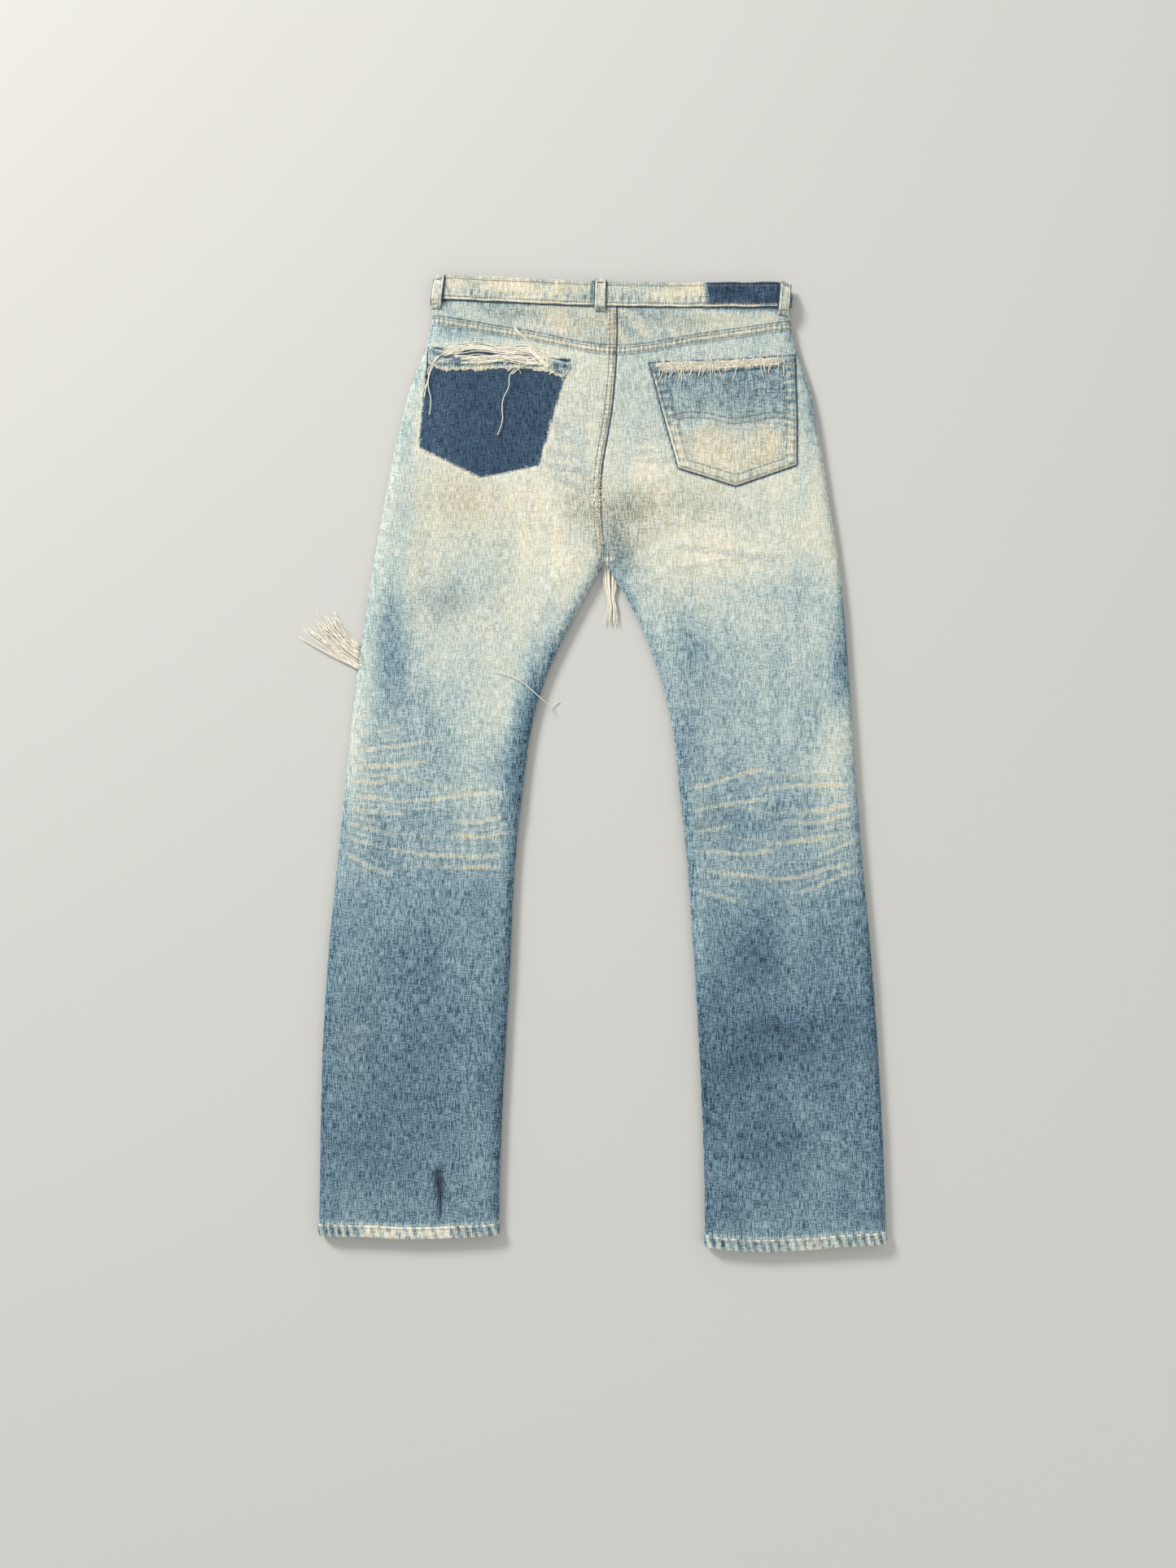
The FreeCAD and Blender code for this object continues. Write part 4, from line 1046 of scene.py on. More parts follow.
def make_yoke(side, denim):
    """Half of the yoke, from under the body's seam up into the waistband."""
    x, y = leg_grid(side, lambda x: YOKE_SEAM(x) - 1.0, lambda x: BAND_LOW(x) + 5, 40, 136)
    shares = np.linspace(0, 1, 40)[None, :]
    for _ in range(3):
        y = (YOKE_SEAM(x) - 1) * (1 - shares) + (BAND_LOW(x) + 5) * shares
        x = OUTER[side](y) + (SEAT_SEAM(y) - OUTER[side](y)) * eased(136)[:, None]
    grid = np.stack([x, y, back_z(x, y) - 0.02], axis=-1)

    def paint(x, y):
        level, stain = back_level(x, y)
        # painted shadow on the yoke under the band's lower edge, heavier towards both ends
        band_shadow = ridge(y - BAND_LOW(x), -1, 4.5)
        dark = step(118, 126, x) * band_shadow * 0.35
        dark = dark + 0.30 * step(-168, -186, x) * band_shadow
        level = level - 0.08 * band_shadow - dark - 0.55 * ridge(y - BAND_LOW(x), -1.0, 1.3)
        slanting = 0.13 * mottle(x + 0.9 * y, y - 0.35 * x, 16, 46, 81)
        return level + slanting, stain + 0.13 + 0.07 * mottle(x, y, 45, 12, 82)
    piece = cloth(f"yoke_{side}", turned(grid, side), 0.85, paint, denim)
    settle(piece, "seat", "denim", f"yoke_{side}")
    declare(grid)


# ------------------------------------------------------------------ waistband

FRONT_BAND_TOP = curve([(-200, 570), (-150, 558), (-90, 552), (0, 551), (100, 552), (160, 555), (225, 560)])
BAND_EDGE = 7.5
BAND_ROUND = 15
BAND_PROUD = 1.5
FIRST_STEPS, LAST_STEPS = 70, 76
BUTTONHOLE_END, BUTTON_END = 13.0, -26.0


def band_height(x, y, proud):
    """Outer face of the band on the back."""
    gap = np.minimum(x - OUTER["left"](y) + BAND_PROUD, OUTER["right"](y) + BAND_PROUD - x)
    rounding = rounded(gap, BAND_ROUND)
    top = PLATEAU + 1.15 + lie(x, y) * 0.7 + 0.25 * mottle(x, y, 15, 12, 91) + proud
    return BAND_EDGE + (top - BAND_EDGE) * rounding


SIDE_ROW = 550


def band_ends(y, inset):
    """Where the band turns round the sides at a row."""
    return OUTER["left"](y) - BAND_PROUD + inset, OUTER["right"](y) + BAND_PROUD - inset


def band_ring(inset, proud, count=150):
    """Points all the way along the band, from its buttonhole end to its button end."""
    shares = np.concatenate([[0.0], np.linspace(0.03, 0.97, 12), [1.0]])[None, :]

    def front(xs):
        low, high = FRONT_TOP(xs) + inset, FRONT_BAND_TOP(xs) - inset
        y = low + (high - low) * shares
        left, right = band_ends(y, inset)
        gap = np.minimum(xs - left, right - xs)
        rounding = rounded(gap, BAND_ROUND)
        return y, 2.7 - proud + (BAND_EDGE - 2.7 + proud) * (1 - rounding)

    near = band_ends(SIDE_ROW, inset)
    run = eased(count)
    first = near[0] + (BUTTONHOLE_END - near[0]) * (np.linspace(1, 0, FIRST_STEPS) ** 1.8)[:, None]
    last = near[1] + (BUTTON_END - near[1]) * (np.linspace(0, 1, LAST_STEPS) ** 1.8)[:, None]
    y_first, z_first = front(first)
    y_last, z_last = front(last)
    z_last = z_last + 2.75 * step(30, 14, last)
    over = near[0] + (near[1] - near[0]) * run[:, None]
    y_over = BAND_LOW(over) + inset + (BAND_TOP(over) - BAND_LOW(over) - 2 * inset) * shares
    z_over = band_height(over, y_over, proud)

    def slide(xs, y):
        left, right = OUTER["left"], OUTER["right"]
        shift = np.where(xs < 0, left(y) - left(SIDE_ROW), right(y) - right(SIDE_ROW))
        return xs + shift * np.clip((abs(xs) - 60) / 140, 0, 1)

    x = np.concatenate([slide(first, y_first), slide(over, y_over)[1:-1], slide(last, y_last)])
    y = np.concatenate([y_first, y_over[1:-1], y_last])
    z = np.concatenate([z_first, z_over[1:-1], z_last])
    return np.stack([x, y, z], axis=-1)


def band_level(x, y, behind=1.0):
    """Wear of the band: pale dashes above its folded lower edge, an unfaded patch behind, and painted shadow
    beside the belt loops.
    """
    top, low = BAND_TOP(x) - y, y - BAND_LOW(x)
    dash = np.tanh(1.8 * np.sin(x * 2 * np.pi / 8.4 + 2.6 * mottle(x, 0 * x, 25, 9, 93)))
    level = 0.92 + yarn_streaks(x, y) + 0.12 * mottle(x, y, 26, 14, 92)
    level = level + (0.25 * dash - 0.17) * ridge(low, 9.5, 2.4)
    level = level + (0.10 * dash - 0.08) * ridge(low, 5.5, 1.6)
    level = level - 0.12 * ridge(top, 1.5, 3.0) - 0.10 * ridge(top, 4.5, 0.9)
    level = level + 0.22 * ridge(low, 0, 1.5) - 0.26 * ridge(low, 3.0, 0.8)
    level = level - 0.12 * blob(x, y, (-20, 552), (26, 12)) - 0.14 * step(-176, -190, x)
    level = level - 0.10 * blob(x, y, (30, 548), (30, 14)) - 0.20 * step(208, 213, x)
    patch = step(122, 126, x + 1.5 * mottle(x, y, 5, 5, 94)) * step(212, 208, x)
    patch = patch * step(0.5, 2.5, low) * behind
    unfaded = -0.05 + 0.10 * mottle(x, y, 30, 12, 95) + 0.7 * (level - 0.9) * step(7, 3, top)
    level = level * (1 - patch) + patch * unfaded
    # painted shadow on the band beside each belt loop
    for place in (-194, -2, 217):
        level = level - 0.48 * ridge(abs(x - place), 7.4, 1.7)
    return level, 0.14 * (1 - patch)


def make_band(slots):
    ring = band_ring(0.0, 0.0)
    ring[..., 1] += 0.56 * mottle(ring[..., 0], ring[..., 1], 11, 300, 96)
    behind = np.zeros((len(ring), 1))
    behind[FIRST_STEPS:-LAST_STEPS] = 1
    band = cloth("waistband", ring, 1.35, lambda x, y: band_level(x, y, behind), slots["band_denim"])
    settle(band, "seat", "band_denim", "waistband")
    declare(ring)
    inner = band_ring(1.2, -1.45)
    facing = cloth("waistband_facing", inner, 0.6, plain_level(0.55, 5), slots["band_facing"])
    settle(facing, "seat", "band_facing", "waistband_facing")
    declare(inner)


def make_loop(name, top, low, slots, over=True):
    """A belt loop: a folded strap tacked above and below the band."""
    top, low = np.array(top, float), np.array(low, float)
    along = (top - low) / np.hypot(*(top - low))
    across = np.array((along[1], -along[0]))
    shares = np.linspace(0, 1, 24)[None, :]
    wide = np.linspace(-6.3, 6.3, 17)[:, None]
    x = low[0] + (top[0] - low[0]) * shares + across[0] * wide
    y = low[1] + (top[1] - low[1]) * shares + across[1] * wide
    arch = np.sin(np.pi * np.clip(shares, 0.02, 0.98)) ** 0.45
    rims = 0.55 * ridge(abs(wide), 4.9, 1.1) - 0.25 * ridge(wide, 0, 1.6)
    pinch = 0.5 * ridge(shares, 0.06, 0.03) + 0.5 * ridge(shares, 0.94, 0.03)
    bulge = 1.1 + 1.5 * arch + rims - pinch
    if over:
        z = band_height(x, y, 0) + bulge
        inside = step(2, -6, y - BAND_LOW(x))
        z = z * (1 - inside) + (back_z(x, y) + bulge) * inside
    else:
        z = 2.6 - bulge * 0.85 + 0 * x
    grid = np.stack([x, y, np.clip(z, 0.2, None)], axis=-1)
    grid = grid if over else grid[::-1]

    def paint(px, py):
        offset = (px - low[0]) * across[0] + (py - low[1]) * across[1]
        height = (py - low[1]) / (top[1] - low[1])
        level = 0.90 + 0.10 * ridge(abs(offset), 5.0, 0.9) - 0.22 * ridge(abs(offset), 3.3, 0.7)
        # painted shade on the loop's turned-down sides; it is also darker at its tacked ends
        level = level - 0.35 * step(5.7, 6.3, abs(offset))
        level = level + 0.14 * mottle(px, py, 4, 5, 97) - 0.2 * ridge(height, 0.06, 0.04)
        return level - 0.2 * ridge(height, 0.95, 0.04) + yarn_streaks(px, py), 0.10
    piece = cloth(name, grid, 0.9, paint, slots["loop_denim"])
    settle(piece, "seat", "loop_denim", name)
    declare(grid)


BACK_LOOPS = {
    "belt_loop_side_left": ((-191.5, 568.5), (-196, 529)),
    "belt_loop_back": ((-1, 563.5), (-2, 525)),
    "belt_loop_side_right": ((218, 561), (214.5, 521)),
}
FRONT_LOOPS = {
    "belt_loop_front_left": ((-96, 549.5), (-96, 522.5)),
    "belt_loop_front_right": ((104, 549.5), (104, 522.5)),
}


# ------------------------------------------------------------------ pockets and patches

def pocket_points(shrink, rows=82, columns=90):
    across = np.linspace(0, 1, columns)[:, None]
    up = np.linspace(0, 1, rows)[None, :]
    y = 316 + 150 * up + 0 * across
    for _ in range(5):
        left, right = POCKET_SIDES[0](y) + shrink, POCKET_SIDES[1](y) - shrink
        x = left + (right - left) * across
        base, mouth = POCKET_BASE(x) + shrink, POCKET_MOUTH(x) - shrink
        y = base + (mouth - base) * up
    return x, y


POCKET_BOW = curve([(74, 397), (100, 403), (125, 402), (152, 396), (180, 400), (205, 404), (228, 399)])


def pocket_gaps(x, y):
    """Distances in from the pocket's sides, base and mouth."""
    side = np.minimum(x - POCKET_SIDES[0](y), POCKET_SIDES[1](y) - x) * 0.98
    return side, (y - POCKET_BASE(x)) * 0.94, POCKET_MOUTH(x) - y


def pocket_z(x, y):
    side, base, mouth = pocket_gaps(x, y)
    hem = np.minimum(side, base)
    top = back_z(x, y) + 1.25 + 0.6 * step(14.5, 12.8, hem) + 0.9 * step(12.5, 10.8, mouth)
    ripple = np.sin(x * 0.55 + 2 * mottle(x, y, 12, 90, 102))
    top = top + 0.3 * mottle(x, y, 26, 30, 101) + 0.22 * ripple * ridge(mouth, 6, 6)
    edge = np.minimum(hem, mouth)
    bag = 0.9 * blob(x, y, (150, 400), (70, 60))
    return top + bag - 0.9 * (1 - step(-0.2, 1.4, edge))


def pocket_level(x, y):
    """Wear of the right pocket: unfaded above, bleached below, its hems puckered; a painted highlight on its
    rim and a painted shadow under the mouth's fold.
    """
    side, base, mouth = pocket_gaps(x, y)
    level = 0.86 - 0.40 * step(365, 425, y + 6 * mottle(x, y, 22, 22, 103)) + yarn_streaks(x, y)
    level = level + 0.08 * blob(x, y, (120, 350), (50, 30)) + 0.06 * blob(x, y, (205, 365), (22, 30))
    level = level + 0.08 * blob(x, y, (110, 425), (26, 16)) - 0.14 * blob(x, y, (212, 352), (8, 30))
    hem = np.minimum(side, base)
    at_side, at_base = step(14.2, 12.8, side), step(14.2, 12.8, base)
    rungs = np.tanh(1.6 * np.sin(y * 2 * np.pi / 9.5 + 2.5 * mottle(x, y, 17, 40, 104)))
    teeth = np.sin(x * 2 * np.pi / 8 + 3 * mottle(x, y, 17, 17, 107))
    level = level + at_side * (0.04 + 0.17 * rungs) + at_base * (1 - at_side) * (0.10 * teeth - 0.03)
    level = level - 0.12 * ridge(hem, 14.4, 1.0) + 0.05 * mottle(x, y, 7, 8, 105)
    level = level - 0.22 * ridge(hem, 3.0, 0.8) - 0.16 * ridge(hem, 11.8, 0.8)
    # a pale rim along the pocket's edge: worn cloth, brightened as a painted highlight
    level = level + 0.42 * ridge(hem, 0, 1.3)
    fold = step(62, 72, x) * step(216, 204, x)
    ragged = mouth + 1.4 * mottle(x, y, 6, 60, 108) - 2.5 * blob(x, y, (130, 460), (46, 30))
    torn = 0.50 * step(10.5, 8.0, ragged) + 0.14 * mottle(x, y, 5, 2.6, 109)
    # under the torn fold at the mouth, a painted shadow line
    level = level + fold * step(16, 12, ragged) * torn - fold * 0.42 * ridge(ragged, 11.6, 1.3)
    wavy = y - POCKET_BOW(x)
    level = level - 0.16 * ridge(wavy, 0, 1.0) - 0.16 * ridge(wavy, -6.5, 1.0)
    return level, 0.10 + 0.06 * step(0.7, 0.9, level)


def make_right_pocket(slots):
    x, y = pocket_points(0)
    rough = 0.9 * mottle(x, y, 3, 50, 106)
    last = np.linspace(0, 1, x.shape[1])[None, :] ** 14
    y = y + rough * last
    grid = np.stack([x, y, pocket_z(x, y)], axis=-1)
    piece = cloth("back_pocket_right", grid, 0.8, pocket_level, slots["pocket_denim"])
    settle(piece, "seat", "pocket_denim", "back_pocket_right")
    declare(grid)
    x, y = pocket_points(3.0, 40, 44)
    grid = np.stack([x, y, back_z(x, y) + 0.45], axis=-1)
    lining = cloth("back_pocket_lining_right", grid, 0.35, plain_level(0.85, 6), slots["pocket_cloth"])
    settle(lining, "seat", "pocket_cloth", "back_pocket_lining_right")
    declare(grid)


REMNANT_TOP = curve([(-204, 484), (-181, 475), (-120, 471), (-61, 468), (-36, 462)])
REMNANT_LOW = curve([(-204, 462), (-195, 457), (-162, 454), (-112, 456), (-63, 452), (-43, 447), (-36, 456)])


def remnant_z(x, y):
    top, low = REMNANT_TOP(x) - y, y - REMNANT_LOW(x)
    edge = np.minimum(top, low)
    ripple = 0.45 * np.sin(x * 0.38 + 3 * mottle(x, y, 22, 60, 111))
    crumple = 0.5 * mottle(x, y, 9, 7, 112) + ripple * step(0, 6, low)
    return back_z(x, y) + 1.1 + crumple - 0.7 * (1 - step(0, 2, edge))


def remnant_level(x, y):
    top, low = REMNANT_TOP(x) - y, y - REMNANT_LOW(x)
    level = 0.66 + 0.22 * mottle(x, y, 9, 6, 113) + yarn_streaks(x, y) + 0.35 * ridge(top, 0, 1.6)
    # the darker bands along the rolled strip are painted shade in its creases
    level = level + 0.36 * ridge(low, 1.5, 2.4) - 0.26 * ridge(top, 6, 2.4)
    level = level - 0.20 * ridge(low, 6.5, 1.5) * step(-0.6, 0.6, mottle(x, y, 12, 40, 116))
    return level - 0.15 * step(-60, -44, x), 0.12


def make_remnant(slots):
    jitter = mottle(np.linspace(0, 200, 16)[None, :], np.zeros((120, 16)), 4, 4, 114)
    x = np.linspace(-204, -36.5, 120)[:, None] + 0.8 * jitter
    up = np.linspace(0, 1, 16)[None, :]
    low = REMNANT_LOW(x) + 1.6 * mottle(x, 0 * x, 3.2, 9, 115)
    y = low + (REMNANT_TOP(x) - low) * up
    grid = np.stack([x + 0 * y, y, remnant_z(x, y)], axis=-1)
    piece = cloth("back_pocket_remnant_left", grid, 0.8, remnant_level, slots["remnant_denim"])
    settle(piece, "seat", "remnant_denim", "back_pocket_remnant_left")
    declare(grid)


def make_flat(
    name, corners_x, corners_y, height, thickness, paint, slots, slot, size=(24, 24), corner=0.0, wave=0.3,
):
    """A flat piece of cloth between two curves of y, from a low to a high row, facing the floor."""
    up = np.linspace(0, 1, size[1])[None, :]
    across = np.linspace(0, 1, size[0])[:, None]
    low, high = corners_y
    y = low(0) + (high(0) - low(0)) * up + 0 * across
    for _ in range(4):
        left, right = corners_x[0](y), corners_x[1](y)
        x = left + (right - left) * across
        y = low(x) + (high(x) - low(x)) * up
    round_off = corner * (1 - np.sin(np.pi * np.clip(across, 0, 1)) ** 0.4) * (1 - up) ** 3
    y = y + round_off
    base = height(x, y) if callable(height) else height + 0 * x
    grid = np.stack([x, y, base + wave * (1 + mottle(x, y, 30, 30, 121)) / 2], axis=-1)
    piece = cloth(name, grid[::-1], thickness, paint, slots[slot])
    settle(piece, "seat", slot, name)
    declare(grid)


def make_front_details(slots):
    """Front pockets, their bags, the fly and the coin pocket, all on or behind the front."""
    left, right = OUTER["left"], OUTER["right"]
    facings = {
        "left": (lambda y: left(y) + 1.5, held_at(-92)),
        "right": (held_at(108), lambda y: right(y) - 1.5),
    }
    for side, span in facings.items():
        make_flat(
            f"front_pocket_facing_{side}", span, (held_at(407), lambda x: FRONT_TOP(x) + 3),
            lambda x, y: front_surface(x, y) + 1.05, 0.7, plain_level(0.30, 2), slots, "denim",
            (40, 30), wave=0.0,
        )
    for side, span in (("left", (held_at(-220), held_at(-62))), ("right", (held_at(62), held_at(238)))):
        make_flat(
            f"front_pocket_bag_{side}", span, (held_at(287), held_at(404)),
            lambda x, y: front_z(x, y) + 1.3, 0.4, plain_level(1.0, 3, 0.4), slots, "pocket_cloth",
            (30, 26), corner=30,
        )
    make_flat(
        "coin_pocket", (held_at(158), held_at(208)), (held_at(466), held_at(506)),
        lambda x, y: front_surface(x, y) + 0.35, 0.6, plain_level(0.45, 4, 1.6), slots, "pocket_denim",
        (24, 22), wave=0.0,
    )
    make_flat(
        "fly_facing", (held_at(-26), held_at(12)), (held_at(387), held_at(518)), 3.9, 1.0,
        plain_level(0.25, 7), slots, "fly_denim", (16, 40), corner=14,
    )
    make_flat(
        "fly_shield", (held_at(-29), held_at(23)), (held_at(389), held_at(518)), 5.6, 1.0,
        plain_level(0.2, 8), slots, "fly_denim", (18, 40), corner=14,
    )


def make_seat_patches(slots):
    """Repair cloth laid inside the seat, behind the darning."""
    for side, (start, stop) in (("left", (-116, -17)), ("right", (34, 104))):
        make_flat(
            f"seat_patch_{side}", (held_at(start), held_at(stop)), (held_at(297), held_at(401)),
            lambda x, y: back_z(x, y) - 1.6, 0.5, plain_level(0.8, 9), slots, "repair_cloth",
            (34, 34), wave=0.0,
        )


# ------------------------------------------------------------------ yarns and threads

def stray(start, heading, length, surface, height=0.4, bend=0.25, points=9, drift=0.0):
    """The path of one loose yarn end lying on the cloth."""
    hop = length / (points - 1)
    place, angle, turn = np.array(start, float), math.radians(heading), RNG.normal(0, bend) + drift
    path = [place.copy()]
    for _ in range(points - 1):
        turn = 0.7 * turn + RNG.normal(0, bend * 0.6) + 0.3 * drift
        angle += turn
        place = place + hop * np.array((math.cos(angle), math.sin(angle)))
        path.append(place.copy())
    path = np.array(path)
    z = surface(path[:, 0], path[:, 1]) + height + 0.25 * RNG.random(len(path))
    return np.column_stack([path, z])


def follow(route, offset, wobble, surface, height, spacing=3.0):
    """A yarn beside a chain of points, wandering about it."""
    route = np.array(route, float)
    ends = chain_ends(route)
    count = max(int(ends[-1] / spacing), 6)
    places = np.linspace(0, ends[-1], count)
    smooth = [curve(list(zip(ends, route[:, axis]))) for axis in (0, 1)]
    x, y = smooth[0](places), smooth[1](places)
    way = np.stack([np.gradient(x), np.gradient(y)])
    way /= np.hypot(*way)
    sway = offset + wobble * mottle(places, 0 * places + offset * 7, 13, 5, int(abs(offset) * 10) + 131)
    x, y = x - way[1] * sway, y + way[0] * sway
    return np.column_stack([x, y, surface(x, y) + height + 0.3 * RNG.random(count)])


BUNDLE_ROUTES = [
    [(-187, 473), (-168, 478), (-147, 481), (-127, 478), (-109, 476), (-83, 476), (-60, 457)],
    [(-166, 465), (-141, 466), (-118, 468), (-97, 466), (-66, 464)],
    [(-62, 457), (-77, 474), (-88, 490), (-103, 508)],
    [(-61, 457), (-71, 475), (-80, 487)],
    [(-83, 465), (-97, 456), (-109, 448)],
    [(-168, 478), (-185, 473), (-193, 469), (-199, 459), (-203, 445), (-206, 433), (-208, 420)],
]


def root_on(edge, span, depth, upright=False):
    """A random yarn root, some way below or beside an edge."""
    along = RNG.uniform(*span)
    across = edge(np.array(along)) - RNG.uniform(*depth)
    return (across, along) if upright else (along, across)


def over_remnant(x, y):
    """The highest cloth under the yarns at the lost pocket."""
    on_strip = (y > REMNANT_LOW(x)) & (y < REMNANT_TOP(x)) & (x > -204) & (x < -36)
    return np.where(on_strip, remnant_z(x, y), back_z(x, y))


def make_bundle(yarn):
    """Warp yarns pulled loose from the lost pocket's hem, matted along it."""
    paths = []
    for route, spread, count in zip(BUNDLE_ROUTES, (3.6, 3.0, 1.2, 0.8, 1.0, 1.4), (17, 13, 4, 2, 3, 4)):
        for _ in range(count):
            offset = RNG.normal(0, spread)
            path = follow(route, offset, 2.2, over_remnant, 0.4 + 0.5 * RNG.random())
            cut = RNG.integers(0, max(len(path) // 5, 1))
            paths.append(path[cut:] if RNG.random() < 0.5 else path[:len(path) - cut])
    for _ in range(30):
        x = RNG.uniform(-200, -42)
        start = (x, REMNANT_LOW(np.array(x)) + RNG.uniform(1, 8))
        paths.append(stray(start, RNG.normal(-95, 50), RNG.uniform(3, 9), over_remnant, 0.3, 0.35, 6))
    radii = RNG.uniform(0.36, 0.58, len(paths))
    piece = tubes("loose_pocket_yarns", paths, radii, yarn, 5)
    settle(piece, "seat", "loose_yarn", "pocket_yarn_bundle")


def floor_or_side(x, y):
    """Height of a yarn coming out of the left side fold and down to the floor."""
    out = OUTER["left"](y) - x
    return np.where(out > 0, 0.4 + (EDGE_HEIGHT - 0.9) * np.exp(-out / 5), back_z(x, y) - 0.3)


def make_side_tuft(yarn):
    """Cream warp ends hanging from a rip at the left thigh's side."""
    paths = []
    for _ in range(40):
        share = RNG.random()
        root = (-283.5 + 3 * RNG.random(), 100 + 32 * share)
        reach = 76 - 32 * share + RNG.normal(0, 6)
        heading = 154 - 12 * share + RNG.normal(0, 3.5)
        paths.append(stray(root, heading, reach, floor_or_side, 0.2 + 2.4 * RNG.random(), 0.03, 12, -0.035))
    piece = tubes("side_tuft_yarns", paths, RNG.uniform(0.42, 0.62, len(paths)), yarn, 5)
    settle(piece, "seat", "loose_yarn", "side_tuft")


CROTCH_ROUTE = [(9, 232), (10, 215), (11, 199), (11, 186), (12, 172), (12, 158), (13, 152)]
CROTCH_SPREAD = (3.5, 4, 3.6, 2.0, 2.8, 4.2, 5.0)


def between_legs(x, y):
    inside = (x < INNER["left"](y)) | (x > INNER["right"](y)) | (y > CROTCH[1])
    drop = step(238, 205, y)
    return np.where(inside, back_z(x, y), 0) * (1 - drop) + drop * 1.0 + 0.6


def make_crotch_tuft(yarn):
    """Yarns from the worn crotch seam, gathered half way down."""
    paths = []
    for _ in range(28):
        spread = RNG.normal(0, 1)
        route = [(x + spread * wide, y) for (x, y), wide in zip(CROTCH_ROUTE, CROTCH_SPREAD)]
        path = follow(route, 0.0, 1.2, between_legs, 0.2 + 1.4 * RNG.random(), 4.0)
        paths.append(path[: len(path) - RNG.integers(0, 6)])
    for _ in range(26):
        start = root_on(SEAT_SEAM, (284, 312), (0, 7), upright=True)
        paths.append(stray(start, RNG.uniform(0, 360), RNG.uniform(4, 10), back_z, 0.5, 0.4, 6))
    piece = tubes("crotch_tuft_yarns", paths, RNG.uniform(0.40, 0.58, len(paths)), yarn, 5)
    settle(piece, "seat", "loose_yarn", "crotch_tuft")


def make_slit_shadow(slots):
    """A dark sheet in the slit torn above the left hem, as the painted shadow of its opening."""
    along = np.linspace(0, 1, 40)[None, :]
    across = np.linspace(-1, 1, 5)[:, None]
    (x0, y0), (x1, y1) = SLIT
    half = 1.05 * np.sin(np.pi * np.clip(along, 0.02, 0.98)) ** 0.6
    half = half + 0.3 * mottle(along * 50, 0 * along, 4, 4, 151)
    x = x1 + (x0 - x1) * along + half * across
    y = y1 + (y0 - y1) * along + 0 * across
    grid = np.stack([x, y, back_surface(x, y) + 0.25 - 0.3 * (1 - across ** 2)], axis=-1)
    piece = cloth("painted_slit_shadow", grid, 0.2, plain_level(-0.45, 8, 0.3), slots["denim"], inside=-0.3)
    settle(piece, "shank_left", "denim")


def make_frays(yarn, indigo):
    """Short broken yarns at the pocket mouth, the lost pocket's edge, the slit and the seams."""
    paths = []
    for _ in range(150):
        start = root_on(POCKET_MOUTH, (66, 208), (0.5, 6))
        heading = RNG.choice((0, 180)) + RNG.normal(0, 14)
        paths.append(stray(start, heading, RNG.uniform(5, 15), pocket_z, 0.3, 0.2, 6))
    for _ in range(60):
        start = root_on(POCKET_MOUTH, (68, 216), (0, 5))
        heading = RNG.choice((-92, 90), p=(0.75, 0.25)) + RNG.normal(0, 16)
        paths.append(stray(start, heading, RNG.uniform(3, 14), pocket_z, 0.35, 0.15, 6))
    hanging = []
    for _ in range(26):
        start = root_on(POCKET_MOUTH, (66, 214), (4, 11))
        hanging.append(stray(start, -92 + RNG.normal(0, 12), RNG.uniform(8, 18), pocket_z, 0.7, 0.12, 7))
    for _ in range(7):
        x = RNG.uniform(70, 210)
        start = (x, POCKET_MOUTH(np.array(x)) - 3)
        hanging.append(stray(start, 92 + RNG.normal(0, 22), RNG.uniform(6, 11), pocket_z, 0.9, 0.15, 6))
    settle(tubes("pocket_mouth_yarns", hanging, 0.42, yarn, 5), "seat", "loose_yarn")
    for _ in range(60):
        start = root_on(SEAT_SEAM, (240, 330), (0, 6), upright=True)
        paths.append(stray(start, RNG.uniform(0, 360), RNG.uniform(2, 7), back_z, 0.3, 0.4, 5))
    for _ in range(80):
        corner = RNG.integers(1, 5)
        a, b = np.array(LOST_POCKET[corner]), np.array(LOST_POCKET[(corner + 1) % 5])
        place = a + (b - a) * RNG.random()
        paths.append(stray(place, RNG.uniform(0, 360), RNG.uniform(1.2, 4), back_z, 0.25, 0.4, 4))
    upper = tubes("frayed_yarns", paths, 0.3, yarn, 4)
    dark = []
    for _ in range(30):
        where = RNG.random() ** 2.2
        start = (-186 + 3 * where + RNG.normal(0, 3.2 * (1 - where)), -470 - 40 * where)
        dark.append(stray(start, RNG.normal(-90, 14), RNG.uniform(6, 18), back_z, 0.6, 0.1, 6))
    lower = tubes("slit_yarns", dark, 0.3, indigo, 4)
    settle(lower, "shank_left", "denim")
    settle(upper, "seat", "loose_yarn")


def spline_cord(name, route, body, yarn, node_name):
    """A single pulled thread as one smooth spline."""
    data = bpy.data.curves.new(name, "CURVE")
    data.dimensions = "3D"
    spline = data.splines.new("NURBS")
    spline.points.add(len(route) - 1)
    for point, place in zip(spline.points, route):
        point.co = (*place, 1)
    spline.order_u = 3
    spline.use_endpoint_u = True
    data.bevel_depth = 0.0005
    data.bevel_resolution = 2
    data.materials.append(yarn)
    thread = bpy.data.objects.new(name, data)
    bpy.context.collection.objects.link(thread)
    settle(thread, body, "loose_yarn", node_name)
    return thread


